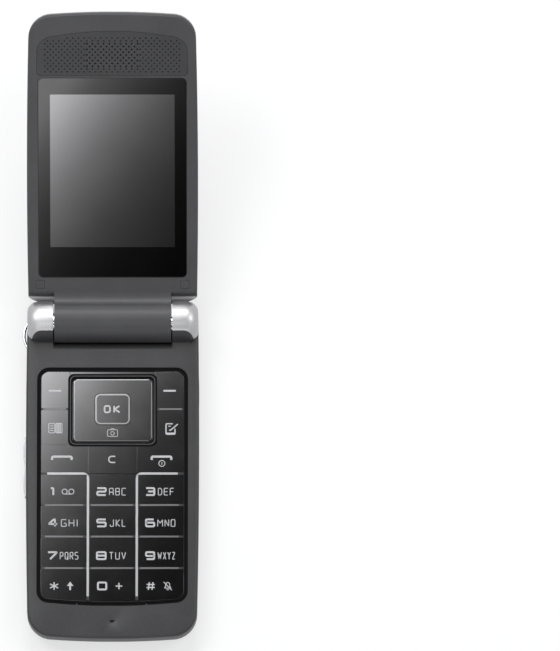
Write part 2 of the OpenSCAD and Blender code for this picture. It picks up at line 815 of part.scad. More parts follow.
module keypad_dividers() color(chrome) {
    slab(mat_top_z, panel_z + 0.05) intersection() {
        union() {
            both_sides() bar_and_line();
            for (row = [1:last_row]) {
                y = number_top_y - row * row_pitch;
                both_sides() translate([bar_x, y - strip_w / 2]) square([panel_w / 2 - bar_x, strip_w]);
                translate([-bar_x, y - strip_w / 2]) square([2 * bar_x, strip_w]);
            }
            both_sides() translate([surround_edge_x + 0.3, soft_y - strip_w / 2])
                square([panel_w / 2 - surround_edge_x - 0.3, strip_w]);
        }
        panel_outline(-key_gap);
    }
    both_sides() translate([bar_x, number_top_y - 1.5 * row_pitch])
        slab(panel_z - 0.1, panel_z + 0.15) square([bar_w + 0.1, touch_mark_len], center = true);
}

module nav_area(grow) translate([0, nav_y])
    rounded_rect([nav_w + 2 * grow, nav_len + 2 * grow], nav_corner_r + grow);

module nav_surround() color(dark_plastic) {
    difference() {
        slab(mat_top_z, panel_z) nav_area(nav_gap + surround_w);
        slab(0, far) nav_area(nav_gap);
    }
}

// A key: a thin cap that fills its cell, on a round nub over its dome
module key_cap(key) color(gloss_black) {
    x = key[1] + key_gap * [1, -1];
    y = key[2] + key_gap * [1, -1];
    cap_z = panel_z - key_t;
    difference() {
        slab(cap_z, panel_z) intersection() {
            panel_outline(-key_gap);
            translate([x[0], y[0]]) square([x[1] - x[0], y[1] - y[0]]);
        }
        if (min(abs(x[0]), abs(x[1])) < surround_edge_x)
            slab(0, far) nav_area(nav_gap + surround_w + key_gap);
        number_bend_clear();
    }
    translate([(x[0] + x[1]) / 2, (y[0] + y[1]) / 2]) upright(2.4, mat_top_z + key_rest_gap, cap_z + 0.1);
}

module number_bend_clear() {
    bend = line_bend;
    both_sides() translate([bar_x + bend, number_top_y - bend]) slab(0, far) intersection() {
        difference() {
            circle(bend + bar_w / 2 + key_gap);
            circle(bend - bar_w / 2 - key_gap);
        }
        translate([-far, 0]) square(far);
    }
}

module nav_key() color(gloss_black) {
    difference() {
        slab(nav_under_z, nav_top_z) nav_area(0);
        translate([0, ok_y]) slab(0, far)
            rounded_rect(ok_size + 2 * ok_clear * [1, 1], ok_corner_r + ok_clear);
    }
}

module nav_pivot() color(chrome) {
    rim = 1.0;
    opening = ok_size + 2 * pivot_clear * [1, 1];
    pivot_top_z = nav_under_z - pivot_gap;
    translate([0, ok_y]) difference() {
        slab(pivot_top_z - pivot_t, pivot_top_z)
            rounded_rect(opening + 2 * rim * [1, 1], ok_corner_r + pivot_clear);
        slab(0, far) rounded_rect(opening, ok_corner_r + pivot_clear);
    }
}

module ok_key() color(gloss_black) {
    cap_z = base_t - nav_sink - 0.55;
    translate([0, ok_y]) {
        slab(cap_z, base_t - nav_sink + 0.05) rounded_rect(ok_size, ok_corner_r);
        upright(4.2, mat_top_z + key_rest_gap, cap_z + 0.1);
    }
}

module key_mat() color(rubber_grey)
    slab(mat_z, mat_top_z) panel_outline(0.8);

module dome_sheet() color(label_grey) {
    slab(board_top_z, board_top_z + dome_film_t) panel_outline(0.5);
    for (key = KEYS) translate([(key[1][0] + key[1][1]) / 2, (key[2][0] + key[2][1]) / 2])
        upright(4, board_top_z + dome_film_t / 2, mat_z);
    translate([0, ok_y]) upright(4, board_top_z + dome_film_t / 2, mat_z);
}

// ---------- inside the base ----------

module main_board() color(board_green) {
    difference() {
        intersection() {
            slab(board_z, board_top_z) base_outline(wall + 0.4);
            block([-far, far], [tip_y + 4.5, hollow_end_y - 0.3], [0, far]);
        }
        screw_places() upright(4, 0, far);
        block([-far, -phone_w / 2 + wall + 1.2],
            [volume_y - volume_len / 2 - 1, volume_y + volume_len / 2 + 1], [0, far]);
    }
}

module battery() color(label_grey)
    translate([0, battery_tip_y + battery_size.y / 2]) slab(battery_z, battery_z + battery_size.z)
        rounded_rect([battery_size.x, battery_size.y], 1.5);

module battery_contacts() color(copper_gold) {
    y = bay_end_y + 0.1;
    block([-4.5, 4.5], [y, y + 2.2], [3.0, board_z]);
}

module sim_holder() color(chrome) {
    y = bay_end_y + 2.8;
    difference() {
        block([-8.2, 17.2], [y, y + 15.6], [board_z - 1.6, board_z]);
        block([-7.7, 16.7], [y - 1, y + 14.8], [board_z - 1.3, board_z - 0.4]);
    }
}

module card_socket() color(chrome) {
    y = flap_y - 15.3;
    difference() {
        block([-flap_x + 1.0, -9.0], [y, y + 11.6], [board_z - 1.5, board_z]);
        block([-flap_x, -9.5], [y + 0.3, y + 11.3], [board_z - 1.2, board_z - 0.4]);
    }
}

module connector_socket() color(chrome) {
    y = flap_y - 16.9;
    difference() {
        block([17.9, flap_x - 1.0], [y, y + 14], [3.4, board_z]);
        block([18.6, flap_x], [y + 0.5, y + 13.5], [3.9, board_z - 0.4]);
    }
    block([18.3, flap_x - 1.4], [y + 1.5, y + 12.5], [4.4, 4.9]);
}

module vibration_motor() color(silver)
    translate([-15.3, bay_end_y + 0.6 + motor_d / 2]) upright(motor_d, board_z - 2.8, board_z);

module speaker_module() color(dark_plastic) translate([speaker_x, speaker_y]) difference() {
    module_w = 22;
    block([-module_w / 2, module_w / 2], [-speaker_depth / 2, speaker_depth / 2],
        [wall + 0.1, board_z - 0.1]);
    slab(0, wall + 0.6) square(speaker_open, center = true);
}

// Slots in the back that let the loudspeaker out
module speaker_outlet() translate([speaker_x, speaker_y]) {
    pitch = (speaker_open.x - speaker_slot_w) / speaker_slots;
    for (i = [0:speaker_slots - 1])
        translate([(i - (speaker_slots - 1) / 2) * pitch, 0]) slab(-1, wall + 0.1)
            rounded_rect([speaker_slot_w, speaker_open.y - 0.2], speaker_slot_w / 2 - 0.01);
}

module microphone() color(copper_gold)
    translate([0, mic_y]) difference() {
        upright(4, board_top_z, top_wall_z);
        upright(1, board_top_z + 0.3, far);
    }

module housing_screws() color(chrome)
    screw_places() difference() {
        head_z = 1.7;
        head_t = 0.68;
        cross_w = 0.35;
        cross_len = screw_d + 0.3;
        union() {
            upright(screw_d - 0.12, head_z, top_wall_z - 0.5);
            upright(screw_d + 1.1, head_z, head_z + head_t);
        }
        slab(head_z - 1, head_z + 0.4) {
            square([cross_len, cross_w], center = true);
            square([cross_w, cross_len], center = true);
        }
    }

// ---------- hinge ----------

module hinge_shaft() color(chrome) pin_along_x(shaft_d, cartridge_x[0] + 2.5, shaft_end_x);

module hinge_pin() color(chrome)
    difference() {
        pin_along_x(pin_d, -pin_end_x, -barrel_len / 2 + 6);
        pin_along_x(pin_bore_d, -pin_end_x - 1, -barrel_len / 2 + 7);
    }

module hinge_cartridge() color(silver) opened()
    difference() {
        pin_along_x(cartridge_d, cartridge_x[0], cartridge_x[1]);
        pin_along_x(shaft_d + 2 * running_fit, cartridge_x[0] + 2.4, cartridge_x[1] + 1);
    }

// ---------- lid ----------

module window_outline(grow = 0) {
    translate([0, (window_top_y + window_bottom_y) / 2])
        rounded_rect(window_size + 2 * grow * [1, 1], 1.4 + grow);
}

module grille_outline(grow = 0) {
    polygon(mirrored(half_outline(
        grille_size.x / 2 + grow, grille_size.x / 2 + grow, grille_top_y + grow,
        grille_bottom_y - grow, 1 + grow, 4.6 + grow, 0, grille_bow)));
}

module camera_cut(grow, z0) translate([0, camera_y]) slab(z0, far)
    rounded_rect([bezel_size + 2 * grow, bezel_size + 2 * grow], bezel_corner_r + grow);

module lid_inner_housing() color(dark_plastic) opened() {
    difference() {
        union() {
            intersection() {
                lid_form();
                slab(lid_z - 1, lid_seam_z) translate([-far / 2, -far / 2]) square(far);
            }
            along_x(barrel_len) neck_view();
        }
        slab(lid_z - 1, window_back_z) window_outline(0.08);
        slab(lid_z - 1, far) window_outline(-1.2);
        slab(lid_z - 1, window_back_z) grille_outline(0.08);
        earpiece_space(0.15);
        both_sides() translate([pad_x, pad_y]) slab(lid_z - 1, lid_z + 0.7)
            rounded_rect(pad_size + [0.1, 0.1], 0.4);
        camera_cut(0.05, bezel_z);
        translate([0, camera_y]) slab(camera_floor_z, far) square(camera_body + 0.1, center = true);
        pin_along_x(cartridge_d + 0.04, cartridge_x[0], knuckle_x + 1);
        pin_along_x(pin_d + 2 * running_fit, -knuckle_x - 1, -barrel_len / 2 + 6.2);
        pin_along_x(pin_bore_d, -knuckle_x - 1, -barrel_len / 2 + 10);
    }
}

module lid_outer_housing() color(silver) opened() {
    difference() {
        intersection() {
            lid_form();
            slab(lid_seam_z, far) translate([-far / 2, -far / 2]) square(far);
        }
        intersection() {
            slab(lid_seam_z - 1, lid_roof_z) lid_outline(2.2, 3.2);
            block([-far, far], [-far, hinge_y - lid_end_r - 1.2], [0, far]);
        }
        slab(lid_face_z + plate_proud - plate_t, far) plate_outline(0.25);
        camera_cut(0.05, bezel_z);
    }
}

module plate_outline(grow = 0) {
    polygon(mirrored(half_outline(
        plate_w / 2 + grow, plate_w / 2 + grow, plate_top_y + grow, plate_bottom_y - grow,
        1.6 + grow, 3.4 + grow, 0, tip_bow)));
}

module lid_plate() color(brushed) opened()
    difference() {
        slab(lid_face_z + plate_proud - plate_t, lid_face_z + plate_proud) plate_outline();
        camera_cut(0.3, 0);
    }

module display_window() color(gloss_black) opened()
    slab(window_z, window_back_z) window_outline();

module display_panel() color([0.2, 0.21, 0.22]) opened() {
    edge = 1.6;
    block((screen_size.x / 2 + edge) * [-1, 1],
        [screen_top_y - screen_size.y - 3.4, screen_top_y + edge], [window_back_z + 0.05, lid_seam_z + 1.4]);
}

module earpiece_space(grow) translate([0, (grille_top_y + grille_bottom_y) / 2])
    slab(window_back_z - grow, lid_seam_z + 1.6) rounded_rect([15 + 2 * grow, 8 + 2 * grow], 3);

module earpiece_grille() color(dark_plastic) opened()
    difference() {
        slab(window_z, window_back_z) grille_outline();
        for (row = [0:hole_rows - 1])
            for (col = [0:hole_columns - 1 - row % 2])
                translate([(col - (hole_columns - 1 - row % 2) / 2) * hole_pitch_x,
                    hinge_y - holes_from_axis - row * hole_pitch_y])
                    upright(hole_d, lid_z - 1, far, $fn = 16);
    }

module earpiece() color(gloss_black) opened() earpiece_space(0);

module camera_bezel() color(chrome) opened()
    difference() {
        intersection() {
            camera_cut(0, bezel_z);
            slab(0, lid_top_z) translate([-far / 2, -far / 2]) square(far);
        }
        camera_cut(-bezel_ring, bezel_z + bezel_floor_t);
        translate([0, camera_y]) upright(5.4, 0, far);
    }

module camera_window() color(gloss_black) opened()
    intersection() {
        camera_cut(-bezel_ring - 0.03, bezel_z + bezel_floor_t);
        slab(0, lid_top_z - 0.3) translate([-far / 2, -far / 2]) square(far);
    }

module camera_module() color(gloss_black) opened()
    translate([0, camera_y]) {
        slab(camera_floor_z, bezel_z) square(camera_body, center = true);
        upright(5, bezel_z - 0.5, bezel_z + bezel_floor_t - 0.1);
    }

module screw_covers() color(dark_plastic) opened()
    both_sides() translate([pad_x, pad_y]) slab(lid_z + 0.05, lid_z + 0.7) rounded_rect(pad_size, 0.35);

// ---------- side pieces ----------

module volume_key() color(silver)
    slab(volume_z - volume_h / 2, volume_z + volume_h / 2) volume_shape();

// A side cover as drawn on the right: a strip with a pin at its hinge end
module flap_form() {
    x_face = flap_x + flap_t / 2;
    z0 = flap_z - flap_h / 2;
    z1 = flap_z + flap_h / 2;
    bulge_r = (pow(flap_len / 2, 2) + pow(flap_bulge, 2)) / (2 * flap_bulge);
    slab(z0, z1) {
        translate([flap_x, flap_y - flap_t / 2]) circle(flap_t / 2);
        translate([x_face - flap_t, flap_y - flap_len]) square([flap_t, flap_len - flap_t / 2]);
        intersection() {
            translate([x_face + flap_bulge - bulge_r, flap_y - flap_len / 2]) circle(bulge_r, $fn = 360);
            translate([flap_x, flap_y - flap_len]) square([2, flap_len - flap_t / 2]);
        }
    }
    translate([flap_x, flap_y - flap_t / 2]) upright(flap_pin_d, z0 - flap_pin_len, z1 + flap_pin_len);
}

// A side cover with the notch for a fingernail at its free end
module notched_flap() {
    notch_w = 1.8;
    difference() {
        flap_form();
        block([flap_x + flap_t / 2 - flap_notch, far], [flap_y - flap_len - 1, flap_y - flap_len + 1.1],
            [flap_z - notch_w / 2, flap_z + notch_w / 2]);
    }
}

module connector_cover() color(dark_plastic) notched_flap();

module card_cover() color(dark_plastic) mirror([1, 0, 0]) notched_flap();

// ---------- pieces ----------

rear_housing();
front_housing();
hinge_cap_left();
hinge_cap_right();
strap_loop();
keypad_bezel();
keypad_dividers();
nav_surround();
key_mat();
dome_sheet();
main_board();
battery();
battery_contacts();
sim_holder();
card_socket();
connector_socket();
vibration_motor();
speaker_module();
microphone();
housing_screws();
hinge_shaft();
hinge_pin();
battery_cover();
connector_cover();
card_cover();
volume_key();
nav_pivot();
nav_key();
ok_key();
lid_inner_housing();
lid_outer_housing();
lid_plate();
display_window();
display_panel();
earpiece_grille();
earpiece();
camera_bezel();
camera_window();
camera_module();
hinge_cartridge();
screw_covers();
for (key = KEYS) key_cap(key);
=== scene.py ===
"""Flip phone, open on its back: the finishes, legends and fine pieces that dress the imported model."""

import json
import logging
import math
from dataclasses import dataclass, field
from enum import Enum
from typing import Any, Callable, Iterable, Protocol, Sequence, Union

import bmesh
import bpy
from mathutils import Matrix, Vector

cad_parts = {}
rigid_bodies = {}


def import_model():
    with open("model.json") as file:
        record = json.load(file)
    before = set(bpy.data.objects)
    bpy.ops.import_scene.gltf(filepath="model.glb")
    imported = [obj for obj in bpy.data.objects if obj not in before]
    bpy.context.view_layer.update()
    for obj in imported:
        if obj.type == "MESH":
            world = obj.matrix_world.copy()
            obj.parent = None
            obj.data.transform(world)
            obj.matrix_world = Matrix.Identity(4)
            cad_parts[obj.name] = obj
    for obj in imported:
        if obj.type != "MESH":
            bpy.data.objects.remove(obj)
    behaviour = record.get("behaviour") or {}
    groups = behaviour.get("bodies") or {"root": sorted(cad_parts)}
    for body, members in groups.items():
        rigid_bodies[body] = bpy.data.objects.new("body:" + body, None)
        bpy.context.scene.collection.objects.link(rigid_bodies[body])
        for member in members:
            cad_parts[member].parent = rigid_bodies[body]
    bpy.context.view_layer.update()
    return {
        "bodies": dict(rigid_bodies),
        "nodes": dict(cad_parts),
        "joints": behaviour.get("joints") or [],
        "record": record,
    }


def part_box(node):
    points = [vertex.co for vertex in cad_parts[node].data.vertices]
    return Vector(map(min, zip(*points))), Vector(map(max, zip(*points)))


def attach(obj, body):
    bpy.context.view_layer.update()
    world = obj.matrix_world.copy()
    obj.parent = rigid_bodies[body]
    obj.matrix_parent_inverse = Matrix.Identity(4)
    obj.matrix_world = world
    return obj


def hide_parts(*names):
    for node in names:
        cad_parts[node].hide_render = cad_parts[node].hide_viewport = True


LOG = logging.getLogger("flip_phone")
MM = 0.001
Colour = tuple[float, float, float]
Point2 = tuple[float, float]
Point3 = tuple[float, float, float]
PALE_DUST: Colour = (0.3, 0.3, 0.31)


# ---------------------------------------------------------------- shader maths


class Term:
    """One output socket of a finish, with the arithmetic that values, colours and vectors take."""

    def __init__(self, graph: "Graph", socket: bpy.types.NodeSocket) -> None:
        """Wraps a socket.

        Args:
            graph: the finish's node tree.
            socket: the output socket that this term stands for.
        """
        self.graph = graph
        self.socket = socket

    def _math(self, operation: str, first: "Operand", second: "Operand") -> "Term":
        """Adds a Math node, or Vector Math where a colour or a vector takes part.

        Args:
            operation: the node's operation.
            first: the left operand.
            second: the right operand.

        Returns:
            The result as a term.
        """
        wide = any(isinstance(part, Term) and part.socket.type != "VALUE" for part in (first, second))
        kind = "ShaderNodeVectorMath" if wide else "ShaderNodeMath"
        values = {}
        for index, part in enumerate((first, second)):
            is_number = not isinstance(part, Term)
            values[index] = (part,) * 3 if wide and is_number and not isinstance(part, tuple) else part
        return self.graph.add(kind, {"operation": operation}, values)

    def __add__(self, other: "Operand") -> "Term":
        """Returns self + other."""
        return self._math("ADD", self, other)

    def __radd__(self, other: "Operand") -> "Term":
        """Returns other + self."""
        return self._math("ADD", other, self)

    def __sub__(self, other: "Operand") -> "Term":
        """Returns self - other."""
        return self._math("SUBTRACT", self, other)

    def __rsub__(self, other: "Operand") -> "Term":
        """Returns other - self."""
        return self._math("SUBTRACT", other, self)

    def __mul__(self, other: "Operand") -> "Term":
        """Returns self * other."""
        return self._math("MULTIPLY", self, other)

    def __rmul__(self, other: "Operand") -> "Term":
        """Returns other * self."""
        return self._math("MULTIPLY", other, self)

    def __pow__(self, other: "Operand") -> "Term":
        """Returns self raised to other."""
        return self._math("POWER", self, other)

    def __rpow__(self, other: "Operand") -> "Term":
        """Returns other raised to self."""
        return self._math("POWER", other, self)

    def __lt__(self, other: "Operand") -> "Term":
        """Returns 1 where self is under other, else 0."""
        return self._math("LESS_THAN", self, other)

    def __gt__(self, other: "Operand") -> "Term":
        """Returns 1 where self is over other, else 0."""
        return self._math("GREATER_THAN", self, other)

    def clamped(self) -> "Term":
        """Returns self held between 0 and 1."""
        return self.graph.add("ShaderNodeClamp", {}, {"Value": self})

    def absolute(self) -> "Term":
        """Returns self without its sign."""
        return self.graph.add("ShaderNodeMath", {"operation": "ABSOLUTE"}, {0: self})

    def part(self, axis: str) -> "Term":
        """Returns one coordinate of a vector.

        Args:
            axis: "X", "Y" or "Z".

        Returns:
            The coordinate as a value.
        """
        return self.graph.add("ShaderNodeSeparateXYZ", {}, {"Vector": self}, axis)


Operand = Union[Term, float, int, tuple]


class Graph:
    """The node tree of one material or world."""

    def __init__(self, name: str, home: Any = None) -> None:
        """Makes an empty material or world.

        Args:
            name: its name.
            home: the collection that it is made in, or None for the materials.
        """
        self.owner = (bpy.data.materials if home is None else home).new(name)
        self.owner.use_nodes = True
        self.tree = self.owner.node_tree
        self.tree.nodes.clear()

    def node(self, kind: str, settings: dict[str, Any], inputs: dict[Any, Any]) -> bpy.types.Node:
        """Adds any node.

        Args:
            kind: the node's type.
            settings: its settings, set first; "stops" gives a ramp's places and levels.
            inputs: values or terms for its sockets, by name or number.

        Returns:
            The node.
        """
        node = self.tree.nodes.new(kind)
        for key, value in settings.items():
            if key == "stops":
                self._set_stops(node.color_ramp, value)
            else:
                setattr(node, key, value)
        for key, value in inputs.items():
            if isinstance(value, Term):
                self.tree.links.new(value.socket, node.inputs[key])
            else:
                node.inputs[key].default_value = value
        return node

    def add(self, kind: str, settings: dict[str, Any], inputs: dict[Any, Any], output: Any = 0) -> Term:
        """Adds a node and wraps one of its outputs.

        Args:
            kind: the node's type.
            settings: its settings.
            inputs: values or terms for its sockets, by name or number.
            output: the socket to return, by name or number.

        Returns:
            The chosen output as a term.
        """
        return Term(self, self.node(kind, settings, inputs).outputs[output])

    @staticmethod
    def _set_stops(ramp: bpy.types.ColorRamp, stops: Sequence[tuple[float, float]]) -> None:
        """Sets a grey ramp's stops.

        Args:
            ramp: the ramp.
            stops: each stop's place and grey level.
        """
        while len(ramp.elements) < len(stops):
            ramp.elements.new(1.0)
        for element, (place, level) in zip(ramp.elements, stops):
            element.position = place
            element.color = (level, level, level, 1.0)

    def point(self) -> Term:
        """Returns the place on the piece in millimetres, in the frame's axes at rest."""
        return self.add("ShaderNodeTexCoord", {}, {}, "Object") * (1 / MM)

    def turned_point(self, turn: float) -> Term:
        """Returns the place on the piece in millimetres, turned about X.

        Args:
            turn: the turn in radians.

        Returns:
            The turned place.
        """
        return self.add("ShaderNodeMapping", {}, {"Vector": self.point(), "Rotation": (turn, 0.0, 0.0)})

    def direct_rays(self) -> Term:
        """Tells the rays that see a thing from those that only light it.

        Returns:
            1 for the camera's own rays and for mirrored and transmitted ones, else 0.
        """
        path = self.node("ShaderNodeLightPath", {}, {})
        kinds = ("Camera", "Glossy", "Transmission")
        camera, glossy, through = (Term(self, path.outputs[f"Is {kind} Ray"]) for kind in kinds)
        return (camera + glossy + through).clamped()

    def noise(self, at: Term, scale: float, detail: float = 2.0, rough: float = 0.5) -> Term:
        """Adds a noise texture.

        Args:
            at: where it is read.
            scale: how fine it is, in features per millimetre.
            detail: its octaves.
            rough: the weight of each finer octave.

        Returns:
            The noise as a value about 0.5.
        """
        inputs = {"Vector": at, "Scale": scale, "Detail": detail, "Roughness": rough}
        return self.add("ShaderNodeTexNoise", {}, inputs)

    def ramp(self, value: Term, *stops: tuple[float, float]) -> Term:
        """Maps a value through a grey ramp.

        Args:
            value: what is mapped.
            stops: each stop's place and grey level.

        Returns:
            The mapped value.
        """
        return self.add("ShaderNodeValToRGB", {"stops": stops}, {"Fac": value})

    def blend(self, mask: Operand, first: Operand, second: Operand) -> Term:
        """Mixes two colours.

        Args:
            mask: 0 gives the first and 1 the second.
            first: a colour or a term.
            second: a colour or a term.

        Returns:
            The mixed colour.
        """
        colours = [part if isinstance(part, Term) else (*part, 1.0) for part in (first, second)]
        inputs = {0: mask, 6: colours[0], 7: colours[1]}
        return self.add("ShaderNodeMix", {"data_type": "RGBA", "clamp_factor": True}, inputs, 2)

    def bump(self, height: Term, strength: float, distance: float) -> Term:
        """Adds a Bump node.

        Args:
            height: the height pattern.
            strength: how much of it is used.
            distance: its depth in millimetres.

        Returns:
            The bumped normal.
        """
        inputs = {"Height": height, "Strength": strength, "Distance": distance * MM}
        return self.add("ShaderNodeBump", {}, inputs)

    def surface(self, **inputs: Operand) -> bpy.types.Material:
        """Adds the shader and its output.

        Args:
            inputs: the shader's sockets, with underscores for spaces.

        Returns:
            The finished material.
        """
        named = {key.replace("_", " "): value for key, value in inputs.items()}
        for key in ("Base Color", "Emission Color"):
            if isinstance(named.get(key), tuple):
                named[key] = (*named[key], 1.0)
        return self.finished(self.add("ShaderNodeBsdfPrincipled", {}, named))

    def finished(self, shader: Term, kind: str = "ShaderNodeOutputMaterial") -> Any:
        """Links a shader to the output.

        Args:
            shader: the shader's term.
            kind: the output node's type.

        Returns:
            The finished material or world.
        """
        self.node(kind, {}, {"Surface": shader})
        return self.owner


# ---------------------------------------------------------------- finishes


class Recipe(Protocol):
    """What each finish offers: its name, and the making of its material."""

    @property
    def name(self) -> str:
        """Returns the material's name."""

    def make(self) -> bpy.types.Material:
        """Returns the finish as a material."""


def darker(colour: Colour, share: float) -> Colour:
    """Returns a colour scaled by a share."""
    red, green, blue = (share * part for part in colour)
    return red, green, blue


@dataclass(frozen=True)
class MouldedPlastic:
    """Moulded plastic under a satin lacquer, with a fine grain and faint handling marks."""

    name: str
    colour: Colour
    roughness: float = 0.42
    grain_depth: float = 0.004
    grain_scale: float = 9.0
    coat: float = 0.05
    shine: float = 0.3

    def make(self) -> bpy.types.Material:
        """Makes the finish.

        Returns:
            The material.
        """
        graph = Graph(self.name)
        at = graph.point()
        grain = graph.noise(at, self.grain_scale, 3.0, 0.6)
        marks = graph.noise(at, 0.09, 3.0, 0.55)
        shade = graph.ramp(marks, (0.3, 0.86), (0.7, 1.08))
        tint = graph.blend(graph.ramp(grain, (0.4, 0.0), (0.62, 1.0)) * 0.08, self.colour, PALE_DUST)
        return graph.surface(
            Base_Color=tint * shade,
            Roughness=self.roughness + (marks - 0.5) * 0.14 + (grain - 0.5) * 0.06,
            Specular_IOR_Level=self.shine,
            Coat_Weight=self.coat,
            Coat_Roughness=0.25,
            Normal=graph.bump(grain, 0.6, self.grain_depth),
        )


@dataclass(frozen=True)
class MetallicPaint:
    """Silver lacquer with fine flakes."""

    name: str
    colour: Colour
    roughness: float = 0.34
    metallic: float = 0.82

    def make(self) -> bpy.types.Material:
        """Makes the finish.

        Returns:
            The material.
        """
        graph = Graph(self.name)
        at = graph.point()
        flakes = graph.add("ShaderNodeTexVoronoi", {}, {"Vector": at, "Scale": 7.0}, "Color").part("X")
        marks = graph.noise(at, 0.12, 3.0, 0.55)
        shade = graph.ramp(flakes, (0.0, 0.9), (1.0, 1.08))
        return graph.surface(
            Base_Color=graph.blend(marks * 0.2, self.colour, darker(self.colour, 0.82)) * shade,
            Metallic=self.metallic,
            Roughness=self.roughness + (marks - 0.5) * 0.1,
            Coat_Weight=0.25,
            Coat_Roughness=0.12,
            Normal=graph.bump(graph.noise(at, 5.0, 2.0), 0.25, 0.002),
        )


@dataclass(frozen=True)
class BrushedMetal:
    """Metal brushed along the phone, with streaks that run its length."""

    name: str
    colour: Colour
    turn: float
    roughness: float = 0.36
    fine_streak: Point3 = (14.0, 0.16, 14.0)
    broad_streak: Point3 = (3.0, 0.03, 3.0)

    def make(self) -> bpy.types.Material:
        """Makes the finish.

        Returns:
            The material.
        """
        graph = Graph(self.name)
        turned = graph.turned_point(self.turn)
        fine = graph.noise(turned * self.fine_streak, 1.0, 4.0, 0.65)
        broad = graph.noise(turned * self.broad_streak, 1.0, 3.0, 0.6)
        streaks = (fine * 0.65 + broad * 0.35).clamped()
        shade = graph.ramp(streaks, (0.28, 0.62), (0.72, 1.14))
        return graph.surface(
            Base_Color=graph.blend(broad * 0.3, self.colour, darker(self.colour, 0.85)) * shade,
            Metallic=0.92,
            Roughness=self.roughness + (streaks - 0.5) * 0.34,
            Normal=graph.bump(streaks, 0.55, 0.008),
        )


@dataclass(frozen=True)
class PolishedMetal:
    """Bright plated metal with hair-fine polishing marks."""

    name: str
    colour: Colour
    roughness: float = 0.16

    def make(self) -> bpy.types.Material:
        """Makes the finish.

        Returns:
            The material.
        """
        graph = Graph(self.name)
        at = graph.point()
        hairs = graph.noise(at * (1.0, 6.0, 1.0), 3.0, 3.0, 0.6)
        smudges = graph.noise(at, 0.35, 2.0)
        shade = graph.ramp(smudges, (0.3, 0.9), (0.7, 1.04))
        return graph.surface(
            Base_Color=graph.blend(hairs * 0.1, self.colour, (0.5, 0.5, 0.52)) * shade,
            Metallic=1.0,
            Roughness=self.roughness + (smudges - 0.5) * 0.12 + (hairs - 0.5) * 0.08,
            Normal=graph.bump(hairs, 0.2, 0.001),
        )


@dataclass(frozen=True)
class MirrorBlack:
    """Dark mirror-like acrylic, as on the key panel and the windows."""

    name: str
    colour: Colour
    roughness: float = 0.07
    metallic: float = 1.0
    coat: float = 0.3

    def make(self) -> bpy.types.Material:
        """Makes the finish.

        Returns:
            The material.
        """
        graph = Graph(self.name)
        at = graph.point()
        smudges = graph.noise(at, 0.11, 4.0, 0.6)
        dust = graph.ramp(graph.noise(at, 3.4, 1.0), (0.70, 0.0), (0.78, 1.0))
        return graph.surface(
            Base_Color=graph.blend(dust * 0.08, self.colour, PALE_DUST),
            Metallic=self.metallic,
            Roughness=self.roughness + graph.ramp(smudges, (0.45, 0.0), (0.75, 0.03)) + dust * 0.06,
            Coat_Weight=self.coat,
            Coat_Roughness=0.04,
        )


@dataclass(frozen=True)
class PlainLayer:
    """A thin print or film, with a slightly uneven lay-down."""

    name: str
    colour: Colour
    roughness: float = 0.45
    metallic: float = 0.0
    shine: float = 0.5

    def make(self) -> bpy.types.Material:
        """Makes the finish.

        Returns:
            The material.
        """
        graph = Graph(self.name)
        grain = graph.noise(graph.point(), 6.0, 3.0, 0.6)
        shade = graph.ramp(grain, (0.3, 0.93), (0.7, 1.03))
        return graph.surface(
            Base_Color=graph.blend(grain * 0.1, self.colour, darker(self.colour, 0.9)) * shade,
            Metallic=self.metallic,
            Specular_IOR_Level=self.shine,
            Roughness=self.roughness + (grain - 0.5) * 0.15,
        )


@dataclass(frozen=True)
class CircuitBoard:
    """Green solder mask over copper tracks, with tinned pads."""

    name: str

    def make(self) -> bpy.types.Material:
        """Makes the finish.

        Returns:
            The material.
        """
        graph = Graph(self.name)
        at = graph.point()
        cells = graph.add("ShaderNodeTexVoronoi", {"distance": "CHEBYCHEV"}, {"Vector": at, "Scale": 0.4})
        tracks = (cells * 5.0 - 1.6).absolute() < 0.22
        pads = graph.ramp(graph.noise(at, 0.8, 1.0), (0.66, 0.0), (0.68, 1.0))
        mask = graph.blend(tracks, (0.012, 0.1, 0.045), (0.03, 0.2, 0.09))
        return graph.surface(
            Base_Color=graph.blend(pads, mask, (0.62, 0.6, 0.55)),
            Metallic=pads * 0.9,
            Roughness=0.3 + pads * 0.12,
        )


